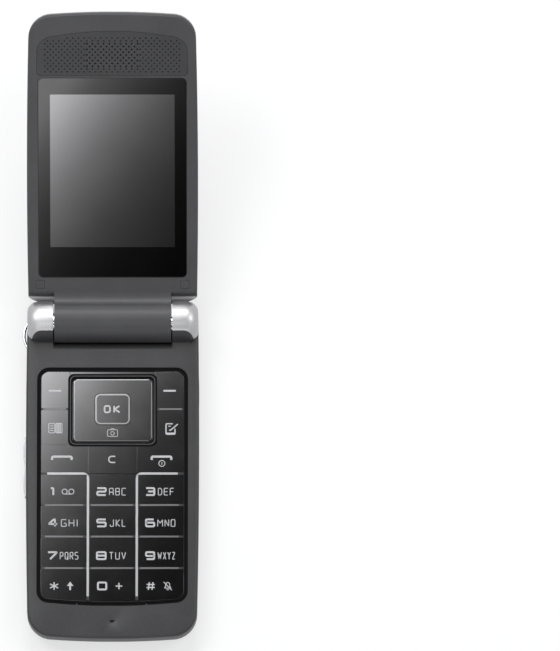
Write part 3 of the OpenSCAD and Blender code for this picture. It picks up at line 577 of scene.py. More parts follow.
@dataclass(frozen=True)
class DividerMetal:
    """Keypad dividers: bright bars and lines on a glossy black ground."""

    name: str
    axis_y: float
    line_y: float = -43.35
    bar_x: float = 6.85
    bar_w: float = 0.32
    bar_end_y: float = -78.4
    line_w: float = 0.32
    line_reach: tuple[float, float] = (6.5, 18.3)
    strip_w: float = 0.21
    strip_y: tuple[float, ...] = (-52.35, -61.35, -70.35)
    strip_reach: tuple[tuple[float, float], ...] = ((-18.9, -8.2), (-6.0, 5.7), (7.8, 18.6))
    soft_y: float = -24.9
    soft_reach: tuple[float, float] = (13.1, 19.4)
    gloss: Colour = (0.02, 0.02, 0.021)
    dull_line: Colour = (0.16, 0.16, 0.165)
    bright_line: Colour = (0.42, 0.42, 0.43)

    @staticmethod
    def _within(value: Term, low: float, high: float) -> Term:
        """Returns 1 where a value lies between two limits.

        Args:
            value: the value.
            low: the lower limit.
            high: the upper limit.

        Returns:
            The mask.
        """
        return (value > low) * (value < high)

    def make(self) -> bpy.types.Material:
        """Makes the finish.

        Returns:
            The material.
        """
        graph = Graph(self.name)
        at = graph.point()
        across = at.part("X")
        beside = across.absolute()
        along = at.part("Y") - self.axis_y
        bars = self._within(beside, self.bar_x - self.bar_w, self.bar_x + self.bar_w)
        bars = bars * self._within(along, self.bar_end_y, self.line_y + self.line_w)
        lines = self._within(along, self.line_y - self.line_w, self.line_y + self.line_w)
        bright = bars + lines * self._within(beside, *self.line_reach)
        soft = self._within(along, self.soft_y - self.strip_w, self.soft_y + self.strip_w)
        dull = soft * self._within(beside, *self.soft_reach)
        spans = sum(self._within(across, *reach) for reach in self.strip_reach)
        for y in self.strip_y:
            dull = dull + self._within(along, y - self.strip_w, y + self.strip_w) * spans
        bright, dull = bright.clamped(), dull.clamped()
        hairs = graph.noise(at * (1.0, 4.0, 1.0), 3.0, 3.0, 0.6)
        ground = graph.blend(dull, self.gloss, self.dull_line)
        return graph.surface(
            Base_Color=graph.blend(bright, ground, self.bright_line),
            Metallic=0.1 + 0.5 * (bright + dull).clamped(),
            Roughness=0.3 + (hairs - 0.5) * 0.15,
        )


@dataclass(frozen=True)
class Screen:
    """The unlit display: a grey mirror-like sheet with its fine dot grid."""

    name: str
    turn: float
    dots_per_mm: float = 5.0

    def make(self) -> bpy.types.Material:
        """Makes the finish.

        Returns:
            The material.
        """
        graph = Graph(self.name)
        turned = graph.turned_point(self.turn)
        flat = turned * (1.0, 1.0, 0.0)
        dots = graph.add("ShaderNodeTexChecker", {}, {"Vector": flat, "Scale": self.dots_per_mm}, "Fac")
        sheen = graph.noise(turned, 0.06, 2.0)
        return graph.surface(
            Base_Color=graph.blend(dots * 0.12, (0.2, 0.2, 0.205), (0.17, 0.17, 0.175)),
            Metallic=1.0,
            Roughness=0.08 + (sheen - 0.5) * 0.03,
        )


class Finish(Enum):
    """The finishes that more than one piece can wear."""

    HOUSING = MouldedPlastic("dark_housing", (0.024, 0.024, 0.025))
    # Painted light: the lid frame is the base's dark plastic in a lighter colour, so that it renders brighter
    # than its lamps light it.
    LID_FRAME_PAINTED_LIGHTER = MouldedPlastic("lid_housing_painted_lighter", (0.04, 0.04, 0.0415))
    MOULDING = MouldedPlastic("black_moulding", (0.022, 0.022, 0.024), 0.5)
    SILVER = MetallicPaint("silver_paint", (0.42, 0.42, 0.43), 0.4)
    BRIGHT = PolishedMetal("bright_metal", (0.72, 0.72, 0.74))
    GLOSS = MirrorBlack("gloss_black", (0.14, 0.14, 0.143))
    NAV_GLOSS = MirrorBlack("nav_gloss", (0.165, 0.165, 0.168))
    CHANNEL_LINE = PlainLayer("channel_line", (0.06, 0.06, 0.061), 0.5, 0.0, 0.3)
    # Near-black with almost no shine: partly the own black of the bezel, the surround and the channel, partly
    # painted shade of the grooves round the keys.
    CHANNEL_PAINTED_SHADE = PlainLayer("channel_painted_shade", (0.004, 0.004, 0.0045), 0.55, 0.0, 0.05)
    GLASS = MirrorBlack("display_glass", (0.042, 0.042, 0.043), 0.05)
    LENS = MirrorBlack("camera_lens", (0.004, 0.004, 0.006), 0.04, 0.0, 0.6)
    PANEL = PlainLayer("display_module", (0.3, 0.31, 0.32), 0.3, 0.6)
    RUBBER = PlainLayer("rubber", (0.17, 0.175, 0.185), 0.75)
    FILM = PlainLayer("polyester_film", (0.62, 0.64, 0.66), 0.35)
    BOARD = CircuitBoard("circuit_board")
    BATTERY = PlainLayer("battery_case", (0.28, 0.29, 0.31), 0.4)
    GOLD = PolishedMetal("gold_contact", (0.83, 0.6, 0.25), 0.22)
    LEGEND = PlainLayer("legend_print", (0.46, 0.46, 0.47), 0.4)
    OUTLINE = PlainLayer("outline_print", (0.32, 0.32, 0.325), 0.35, 0.3)
    # Painted shade: near-black flat discs stand in for the shade inside the earpiece perforations.
    HOLE_PAINTED_SHADE = PlainLayer("hole_painted_shade", (0.009, 0.009, 0.0095), 0.7, 0.0, 0.15)


AnyFinish = Union[Finish, Recipe]


class Wardrobe:
    """Makes each finish once and hands it out."""

    def __init__(self) -> None:
        """Starts with no finish made."""
        self._made: dict[str, bpy.types.Material] = {}

    def get(self, finish: AnyFinish) -> bpy.types.Material:
        """Returns the material of a finish.

        Args:
            finish: a named finish, or one made for a single piece.

        Returns:
            The material, made on first use.
        """
        recipe = finish.value if isinstance(finish, Finish) else finish
        if recipe.name not in self._made:
            self._made[recipe.name] = recipe.make()
        return self._made[recipe.name]


WARDROBE = Wardrobe()


# ---------------------------------------------------------------- shapes


def rounded_rect(width: float, length: float, radius: float, centre: Point2 = (0.0, 0.0),
                 steps: int = 8) -> list[Point2]:
    """Gives the outline of a rectangle with round corners.

    Args:
        width: its size along X.
        length: its size along Y.
        radius: its corner radius.
        centre: its middle.
        steps: the facets of each corner.

    Returns:
        The points, anticlockwise.
    """
    points = []
    for quarter, (sx, sy) in enumerate(((1, 1), (-1, 1), (-1, -1), (1, -1))):
        for step in range(steps + 1):
            turn = math.pi / 2 * (quarter + step / steps)
            points.append((
                centre[0] + sx * (width / 2 - radius) + radius * math.cos(turn),
                centre[1] + sy * (length / 2 - radius) + radius * math.sin(turn),
            ))
    return points


def circle(radius: float, centre: Point2 = (0.0, 0.0), steps: int = 32) -> list[Point2]:
    """Gives the outline of a circle.

    Args:
        radius: its radius.
        centre: its middle.
        steps: its facets.

    Returns:
        The points, anticlockwise.
    """
    turns = [2 * math.pi * step / steps for step in range(steps)]
    return [(centre[0] + radius * math.cos(turn), centre[1] + radius * math.sin(turn)) for turn in turns]


def eased(path: Sequence[Point2], radius: float, closed: bool, steps: int = 5) -> list[Point2]:
    """Rounds the corners of a path.

    Args:
        path: its corner points.
        radius: the most that a corner is rounded.
        closed: whether the last point joins the first.
        steps: the facets of each corner.

    Returns:
        The rounded path.
    """
    count = len(path)
    result = []
    for index, corner in enumerate(path):
        here = Vector(corner)
        if not closed and index in (0, count - 1):
            result.append(tuple(here))
            continue
        before = Vector(path[index - 1])
        after = Vector(path[(index + 1) % count])
        reach = min(radius, (before - here).length / 2, (after - here).length / 2)
        start = here + (before - here).normalized() * reach
        end = here + (after - here).normalized() * reach
        for step in range(steps + 1):
            t = step / steps
            result.append(tuple(start * (1 - t) ** 2 + here * 2 * t * (1 - t) + end * t ** 2))
    return result


class Shape:
    """Points and faces of one piece, in millimetres."""

    same = 1e-4

    def __init__(self) -> None:
        """Starts empty."""
        self.points: list[Point3] = []
        self.faces: list[tuple[int, ...]] = []

    def rings(self, rings: Sequence[Sequence[Point3]], capped: bool = True) -> "Shape":
        """Joins rings of points in a row.

        Args:
            rings: the rings, each with as many points.
            capped: closes both ends with a face; otherwise the last ring joins the first.

        Returns:
            This shape.
        """
        base = len(self.points)
        count = len(rings[0])
        for ring in rings:
            self.points.extend(tuple(point) for point in ring)
        pairs = len(rings) - 1 if capped else len(rings)
        for row in range(pairs):
            low = base + row * count
            high = base + (row + 1) % len(rings) * count
            for i in range(count):
                j = (i + 1) % count
                self.faces.append((low + i, low + j, high + j, high + i))
        if capped:
            self.faces.append(tuple(reversed(range(base, base + count))))
            self.faces.append(tuple(range(base + (len(rings) - 1) * count, base + len(rings) * count)))
        return self

    def prism(self, outline: Sequence[Point2], z0: float, z1: float) -> "Shape":
        """Adds a straight prism.

        Args:
            outline: its outline.
            z0: its foot.
            z1: its top.

        Returns:
            This shape.
        """
        return self.rings([[(x, y, z) for x, y in outline] for z in (z0, z1)])

    def collar(self, outline: Callable[[float], list[Point2]], section: Sequence[Point2]) -> "Shape":
        """Sweeps a closed section round an outline.

        Args:
            outline: gives the outline inset by a distance.
            section: the section's points, as inset and height.

        Returns:
            This shape.
        """
        rings = [[(x, y, z) for x, y in outline(inset)] for inset, z in section]
        return self.rings(rings, capped=False)

    def lathe(self, profile: Sequence[Point2], centre: Point2, steps: int = 40) -> "Shape":
        """Turns a profile about an upright line.

        Args:
            profile: radius and height of each level; it starts and ends on a small radius.
            centre: where the line stands.
            steps: the facets of a turn.

        Returns:
            This shape.
        """
        return self.rings([[(x, y, z) for x, y in circle(r, centre, steps)] for r, z in profile])

    def stroke(self, path: Sequence[Point2], width: float, z0: float, z1: float,
               closed: bool = False) -> "Shape":
        """Adds a raised line along a path.

        Args:
            path: the middle of the line.
            width: its width.
            z0: its foot.
            z1: its top.
            closed: whether the last point joins the first.

        Returns:
            This shape.
        """
        here = [Vector(point) for point in path]
        here = [point for i, point in enumerate(here) if i == 0 or (point - here[i - 1]).length > self.same]
        if closed and (here[0] - here[-1]).length < self.same:
            here.pop()
        count = len(here)
        left, right = [], []
        for i, point in enumerate(here):
            ahead = here[(i + 1) % count] - point if closed or i < count - 1 else None
            behind = point - here[i - 1] if closed or i > 0 else None
            one = (behind or ahead).normalized()
            two = (ahead or behind).normalized()
            along = (one + two).normalized()
            across = Vector((-along.y, along.x))
            reach = width / 2 / max(along.dot(one), 0.5)
            left.append(point + across * reach)
            right.append(point - across * reach)
        sides = [[(*a, z1), (*b, z1), (*b, z0), (*a, z0)] for a, b in zip(left, right)]
        return self.rings(sides + [sides[0]] if closed else sides)


class Angle(Enum):
    """How sharp an edge must be to stay an edge, in radians."""

    SOFT = math.radians(50)
    PLAIN = math.radians(32)


def add_piece(name: str, shape: Shape, finish: AnyFinish, body: str, place: Matrix,
              smooth: bool = False) -> None:
    """Makes a piece and hands it to the frame.

    Args:
        name: its name.
        shape: its points and faces, in millimetres.
        finish: its finish.
        body: the body that it rides on.
        place: turns drawn millimetres into the frame's metres.
        smooth: whether it is shaded smooth between edges.
    """
    mesh = bpy.data.meshes.new(name)
    mesh.from_pydata([place @ Vector(point) for point in shape.points], [], shape.faces)
    work = bmesh.new()
    work.from_mesh(mesh)
    bmesh.ops.remove_doubles(work, verts=work.verts, dist=1e-8)
    bmesh.ops.recalc_face_normals(work, faces=work.faces)
    work.to_mesh(mesh)
    work.free()
    if smooth:
        mesh.shade_smooth()
        mesh.set_sharp_from_angle(angle=Angle.PLAIN.value)
    mesh.materials.append(WARDROBE.get(finish))
    piece = bpy.data.objects.new(name, mesh)
    bpy.context.collection.objects.link(piece)
    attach(piece, body)
    LOG.info("piece %s: %d faces, rides on %s", name, len(mesh.polygons), body)


class Dresser:
    """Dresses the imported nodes: a finish, soft shading and eased edges."""

    def __init__(self, nodes: dict[str, bpy.types.Object]) -> None:
        """Keeps the CAD nodes, by name."""
        self.nodes = nodes

    def dress(self, names: Iterable[str], finish: AnyFinish, ease: float = 0.0,
              angle: Angle = Angle.PLAIN) -> None:
        """Gives nodes a finish.

        Args:
            names: the nodes.
            finish: their finish.
            ease: the width of their eased edges in millimetres, or 0 for none.
            angle: how sharp an edge must be to stay an edge.
        """
        for name in names:
            self.finish(self.nodes[name], finish, ease, angle)

    def finish(self, item: bpy.types.Object, finish: AnyFinish, ease: float = 0.0,
               angle: Angle = Angle.PLAIN) -> None:
        """Gives one node, or a piece made from one, its finish and edges.

        Args:
            item: the node or piece.
            finish: its finish.
            ease: the width of its eased edges in millimetres, or 0 for none.
            angle: how sharp an edge must be to stay an edge.
        """
        mesh = item.data
        mesh.materials.clear()
        mesh.materials.append(WARDROBE.get(finish))
        for attribute in ("custom_normal", "sharp_edge", "sharp_face"):
            if attribute in mesh.attributes:
                mesh.attributes.remove(mesh.attributes[attribute])
        for face in mesh.polygons:
            face.use_smooth = True
        weld = item.modifiers.new("weld", "WELD")
        weld.merge_threshold = 2e-6
        if ease:
            self._ease(item, ease, angle)
        split = item.modifiers.new("edges", "EDGE_SPLIT")
        split.split_angle = angle.value
        LOG.info("%s: %s", item.name, finish.name)

    @staticmethod
    def _ease(item: bpy.types.Object, ease: float, angle: Angle) -> None:
        """Rounds the edges of a node or piece with modifiers.

        Args:
            item: the node or piece.
            ease: the width in millimetres.
            angle: the least angle of an edge that is rounded.
        """
        flat = item.modifiers.new("flat", "DECIMATE")
        flat.decimate_type = "DISSOLVE"
        flat.angle_limit = math.radians(0.4)
        bevel = item.modifiers.new("ease", "BEVEL")
        bevel.width = ease * MM
        bevel.segments = 2
        bevel.limit_method = "ANGLE"
        bevel.angle_limit = angle.value
        bevel.harden_normals = True
        bevel.use_clamp_overlap = True


# ---------------------------------------------------------------- the hinge's frame


@dataclass
class HingeFrame:
    """The hinge axis, and the turn between the closed and the open lid."""

    axis_y: float
    axis_z: float
    turn: float

    @classmethod
    def read(cls, joints: Sequence[dict]) -> "HingeFrame":
        """Finds the flip hinge among the frame's joints.

        Args:
            joints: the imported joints.

        Returns:
            The hinge in millimetres and radians.
        """
        joint = next(item for item in joints if item["name"] == "flip_hinge")
        origin = joint["pos_m"]
        return cls(origin[1] / MM, origin[2] / MM, math.radians(max(joint["range_deg"])))

    def base(self) -> Matrix:
        """Returns the matrix that takes the base's millimetres, with Y from the axis, to metres."""
        return Matrix.Scale(MM, 4) @ Matrix.Translation((0, self.axis_y, 0))

    def lid(self) -> Matrix:
        """Places what is drawn on the closed lid.

        Returns:
            The matrix that takes the closed lid's millimetres to the open lid's metres.
        """
        rise = Vector((0, 0, self.axis_z))
        opened = Matrix.Translation(rise) @ Matrix.Rotation(-self.turn, 4, "X") @ Matrix.Translation(-rise)
        return self.base() @ opened


# ---------------------------------------------------------------- legends


# Each character's strokes in a unit cell. A closed stroke ends where it starts.
GLYPHS: dict[str, list[list[Point2]]] = {
    "0": [[(0, 0), (1, 0), (1, 1), (0, 1), (0, 0)]],
    "1": [[(0.2, 1), (1, 1), (1, 0)]],
    "2": [[(0, 1), (1, 1), (1, 0.5), (0, 0.5), (0, 0), (1, 0)]],
    "3": [[(0, 1), (1, 1), (1, 0), (0, 0)], [(0.25, 0.52), (1, 0.52)]],
    "4": [[(0.74, 0), (0.74, 1), (0.6, 1), (0, 0.34), (1, 0.34)]],
    "5": [[(1, 1), (0, 1), (0, 0.56), (1, 0.56), (1, 0), (0, 0)]],
    "6": [[(0.92, 1), (0, 1), (0, 0), (1, 0), (1, 0.54), (0, 0.54)]],
    "7": [[(0, 1), (1, 1), (0.22, 0)]],
    "8": [[(0, 0), (1, 0), (1, 1), (0, 1), (0, 0)], [(0, 0.51), (1, 0.51)]],
    "9": [[(1, 0.46), (0, 0.46), (0, 1), (1, 1), (1, 0), (0.08, 0)]],
    "#": [[(0.34, 1), (0.22, 0)], [(0.78, 1), (0.66, 0)], [(0.02, 0.7), (1, 0.7)], [(0, 0.3), (0.98, 0.3)]],
    "*": [[(0.5, 1), (0.5, 0)], [(0.06, 0.76), (0.94, 0.24)], [(0.06, 0.24), (0.94, 0.76)]],
    "+": [[(0.5, 1), (0.5, 0)], [(0, 0.5), (1, 0.5)]],
    "C": [[(1, 1), (0, 1), (0, 0), (1, 0)]],
    "O": [[(0, 0), (1, 0), (1, 1), (0, 1), (0, 0)]],
    "K": [[(0, 1), (0, 0)], [(0.95, 1), (0.08, 0.5), (1, 0)]],
    "A": [[(0, 0), (0, 1), (1, 1), (1, 0)], [(0, 0.42), (1, 0.42)]],
    "B": [[(0, 0), (0.95, 0), (0.95, 1), (0, 1), (0, 0)], [(0, 0.51), (0.95, 0.51)]],
    "D": [[(0, 0), (0.7, 0), (1, 0.25), (1, 0.75), (0.7, 1), (0, 1), (0, 0)]],
    "E": [[(1, 1), (0, 1), (0, 0), (1, 0)], [(0, 0.5), (0.9, 0.5)]],
    "F": [[(1, 1), (0, 1), (0, 0)], [(0, 0.5), (0.85, 0.5)]],
    "G": [[(1, 1), (0, 1), (0, 0), (1, 0), (1, 0.46), (0.55, 0.46)]],
    "H": [[(0, 1), (0, 0)], [(1, 1), (1, 0)], [(0, 0.5), (1, 0.5)]],
    "I": [[(0.5, 1), (0.5, 0)]],
    "J": [[(0.9, 1), (0.9, 0), (0, 0), (0, 0.25)]],
    "L": [[(0, 1), (0, 0), (0.9, 0)]],
    "M": [[(0, 0), (0, 1), (0.5, 0.45), (1, 1), (1, 0)]],
    "N": [[(0, 0), (0, 1), (1, 0), (1, 1)]],
    "P": [[(0, 0), (0, 1), (1, 1), (1, 0.44), (0, 0.44)]],
    "Q": [[(0, 0), (1, 0), (1, 1), (0, 1), (0, 0)], [(0.62, 0.34), (1.05, -0.1)]],
    "R": [[(0, 0), (0, 1), (1, 1), (1, 0.46), (0, 0.46)], [(0.5, 0.46), (1, 0)]],
    "S": [[(1, 1), (0, 1), (0, 0.52), (1, 0.52), (1, 0), (0, 0)]],
    "T": [[(0, 1), (1, 1)], [(0.5, 1), (0.5, 0)]],
    "U": [[(0, 1), (0, 0), (1, 0), (1, 1)]],
    "V": [[(0, 1), (0.5, 0), (1, 1)]],
    "W": [[(0, 1), (0.25, 0), (0.5, 0.8), (0.75, 0), (1, 1)]],
    "X": [[(0, 1), (1, 0)], [(1, 1), (0, 0)]],
    "Y": [[(0, 1), (0.5, 0.5), (1, 1)], [(0.5, 0.5), (0.5, 0)]],
    "Z": [[(0, 1), (1, 1), (0, 0), (1, 0)]],
}


@dataclass(frozen=True)
class Pen:
    """Draws legends as thin raised print."""

    width: float
    corner: float
    lift: float = 0.014
    sink: float = 0.03
    layer_step: float = 0.0015
    spacing: float = 0.36

    def draw(self, shape: Shape, path: Sequence[Point2], face_z: float, closed: bool = False,
             layer: int = 0) -> None:
        """Draws one line on a face.

        Args:
            shape: the shape that it joins.
            path: its corner points.
            face_z: the height of the face.
            closed: whether the last point joins the first.
            layer: counts the lines, so that no two tops lie in one plane.
        """
        line = eased(path, self.corner, closed)
        top = face_z + self.lift + self.layer_step * layer
        shape.stroke(line, self.width, face_z - self.sink, top, closed)

    def write(self, shape: Shape, text: str, x: Point2, y: Point2, face_z: float) -> None:
        """Writes characters between two edges.

        Args:
            shape: the shape that they join.
            text: the characters.
            x: the left and right edges.
            y: the lower and upper edges.
            face_z: the height of the face.
        """
        widths = [0.3 if char == "I" else 1.25 if char in "MW" else 1.0 for char in text]
        unit = (x[1] - x[0]) / (sum(widths) + self.spacing * (len(text) - 1))
        left = x[0]
        half = self.width / 2
        for char, share in zip(text, widths):
            cell = unit * share
            for layer, path in enumerate(GLYPHS[char]):
                closed = path[0] == path[-1]
                placed = [
                    (left + half + px * (cell - self.width), y[0] + half + py * (y[1] - y[0] - self.width))
                    for px, py in (path[:-1] if closed else path)
                ]
                self.draw(shape, placed, face_z, closed, layer)
            left += cell + unit * self.spacing


@dataclass(frozen=True)
class NumberLegend:
    """What one number key shows: its bold figure and the small letters or sign beside it."""

    figure: str
    figure_x: Point2
    letters: str
    letters_x: Point2


@dataclass
class Legends:
    """The printed signs on the keys, each on its own key."""

    face_z: float
    place: Matrix
    broad: Pen = Pen(0.62, 0.45)
    bold: Pen = Pen(0.52, 0.38)
    medium: Pen = Pen(0.34, 0.3)
    round_pen: Pen = Pen(0.36, 0.95)
    thin: Pen = Pen(0.22, 0.28)
    fine: Pen = Pen(0.28, 0.2)
    row_y: tuple[float, ...] = (-48.5, -57.45, -66.8, -75.45)
    row_h: float = 2.5
    numbers: dict[str, tuple[int, NumberLegend]] = field(default_factory=lambda: {
        "key_1": (0, NumberLegend("1", (-17.7, -16.3), "", (0, 0))),
        "key_2": (0, NumberLegend("2", (-4.5, -1.6), "ABC", (-0.95, 3.85))),
        "key_3": (0, NumberLegend("3", (9.2, 12.0), "DEF", (12.75, 17.3))),
        "key_4": (1, NumberLegend("4", (-18.1, -15.2), "GHI", (-14.4, -9.6))),
        "key_5": (1, NumberLegend("5", (-4.5, -1.6), "JKL", (-0.7, 3.85))),
        "key_6": (1, NumberLegend("6", (9.2, 12.0), "MNO", (12.6, 17.65))),
        "key_7": (2, NumberLegend("7", (-18.2, -15.2), "PQRS", (-14.7, -9.5))),
        "key_8": (2, NumberLegend("8", (-4.55, -1.6), "TUV", (-0.9, 3.85))),
        "key_9": (2, NumberLegend("9", (9.2, 12.0), "WXYZ", (12.7, 17.65))),
        "key_star": (3, NumberLegend("*", (-17.7, -14.8), "", (0, 0))),
        "key_0": (3, NumberLegend("0", (-4.25, -1.4), "+", (0.8, 3.0))),
        "key_hash": (3, NumberLegend("#", (9.45, 12.1), "", (0, 0))),
    })

    def build(self) -> None:
        """Builds every legend."""
        for key, (row, legend) in self.numbers.items():
            shape = Shape()
            low = self.row_y[row] - self.row_h / 2
            high = self.row_y[row] + self.row_h / 2
            pen = self.medium if legend.figure in "*#" else self.bold
            pen.write(shape, legend.figure, legend.figure_x, (low, high), self.face_z)
            if legend.letters:
                side_pen = self.medium if legend.letters == "+" else self.thin
                side_pen.write(shape, legend.letters, legend.letters_x, (low + 0.15, high - 0.2), self.face_z)
            self._add_sign(shape, key, self.row_y[row])
            self._finish(shape, key)
        for key, draw in self._upper().items():
            shape = Shape()
            draw(shape)
            self._finish(shape, key)

    def _finish(self, shape: Shape, key: str) -> None:
        """Makes a key's legend a piece.

        Args:
            shape: its lines.
            key: the key's name.
        """
        add_piece("legend_" + key, shape, Finish.LEGEND, key, self.place)

    def _add_sign(self, shape: Shape, key: str, y: float) -> None:
        """Adds the small sign of a key that has one.

        Args:
            shape: the key's legend.
            key: the key's name.
            y: the middle of its row.
        """
        if key == "key_1":
            left, right, radius = -13.4, -11.5, 0.72
            for x in (left, right):
                self.thin.draw(shape, circle(radius, (x, y), 20), self.face_z, True)
            self.thin.draw(shape, [(left, y - radius), (right, y - radius)], self.face_z, layer=1)
        if key == "key_star":
            x = -11.76
            foot, top = self.face_z - self.bold.sink, self.face_z + self.bold.lift
            shape.prism([(x - 0.95, y), (x + 0.95, y), (x, y + 1.25)], foot, top)
            self.bold.draw(shape, [(x, y + 0.1), (x, y - 1.15)], self.face_z, layer=1)
        if key == "key_hash":
            x = 15.55
            bell = [(x - 0.95, y - 0.6), (x - 0.6, y - 0.2), (x - 0.5, y + 0.75), (x, y + 1.1),
                    (x + 0.5, y + 0.75), (x + 0.6, y - 0.2), (x + 0.95, y - 0.6)]
            self.thin.draw(shape, bell, self.face_z, True)
            self.thin.draw(shape, [(x - 0.3, y - 1.05), (x + 0.3, y - 1.05)], self.face_z, layer=1)
            self.thin.draw(shape, [(x - 1.15, y + 1.15), (x + 1.15, y - 1.2)], self.face_z, layer=2)

    def _upper(self) -> dict[str, Callable[[Shape], None]]:
        """Lists what draws the signs of the upper keys.

        Returns:
            Each key's drawing method.
        """
        letter_x, letter_y = (-1.2, 0.95), (-40.35, -38.25)
        return {
            "key_soft_left": lambda shape: self._dash(shape, -16.2),
            "key_soft_right": lambda shape: self._dash(shape, 16.0),
            "key_contacts": self._book,
            "key_tasks": self._notepad,
            "key_send": lambda shape: self._handset(shape, -14.2),
            "key_clear": lambda shape: self.round_pen.write(shape, "C", letter_x, letter_y, self.face_z),
            "key_end": self._end_sign,
        }

    def _dash(self, shape: Shape, x: float) -> None:
        """Draws a soft key's dash.

        Args:
            shape: the key's legend.
            x: the middle of the dash.
        """
        half, y = 1.75, -19.65
        self.bold.draw(shape, [(x - half, y), (x + half, y)], self.face_z)

    def _book(self, shape: Shape) -> None:
        """Draws the open address book.

        Args:
            shape: the key's legend.
        """
        left, right, low, high = -17.9, -14.2, -31.7, -29.0
        middle = (left + right) / 2
        frame = [(left, low), (middle - 0.15, low), (middle - 0.15, high), (left, high)]
        self.thin.draw(shape, frame, self.face_z, True)
        other = [(middle + 0.15, low), (right, low), (right, high), (middle + 0.15, high)]
        self.thin.draw(shape, other, self.face_z, True, 1)
        for step in range(3):
            y = low + 0.7 + 0.65 * step
            self.thin.draw(shape, [(left + 0.45, y), (middle - 0.5, y)], self.face_z, layer=2)
            x = middle + 0.5 + 0.42 * step
            self.fine.draw(shape, [(x, low + 0.1), (x, high - 0.1)], self.face_z, layer=3)

    def _notepad(self, shape: Shape) -> None:
        """Draws the notepad and pen.

        Args:
            shape: the key's legend.
        """
        left, right, low, high = 15.0, 17.5, -32.1, -29.1
        pad = [(right, low + 1.6), (right, low), (left, low), (left, high), (right - 0.6, high)]
        self.medium.draw(shape, pad, self.face_z)
        pen = [(left + 0.9, low + 1.3), (left + 1.2, low + 1.1), (right + 0.8, high - 0.1)]
        self.medium.draw(shape, pen, self.face_z, layer=1)
        self.thin.draw(shape, [(left + 0.6, high - 0.7), (left + 1.4, high - 0.7)], self.face_z, layer=2)
        self.bold.draw(shape, [(left + 0.1, low + 0.2), (right - 0.1, low + 0.2)], self.face_z, layer=3)

    def _handset(self, shape: Shape, x: float) -> None:
        """Draws the bracket-like handset.

        Args:
            shape: the key's legend.
            x: the middle of the sign.
        """
        half, top, foot = 2.75, -38.5, -39.45
        path = [(x - half, foot), (x - half, top), (x + half, top), (x + half, foot)]
        self.broad.draw(shape, path, self.face_z)

    def _end_sign(self, shape: Shape) -> None:
        """Draws the handset and the circled power mark.

        Args:
            shape: the key's legend.
        """
        self._handset(shape, 13.75)
        x, y, half = 13.85, -40.45, 0.35
        self.thin.draw(shape, circle(0.85, (x, y), 24), self.face_z, True, 1)
        self.thin.draw(shape, [(x, y - half), (x, y + half)], self.face_z, layer=2)


# ---------------------------------------------------------------- the keypad


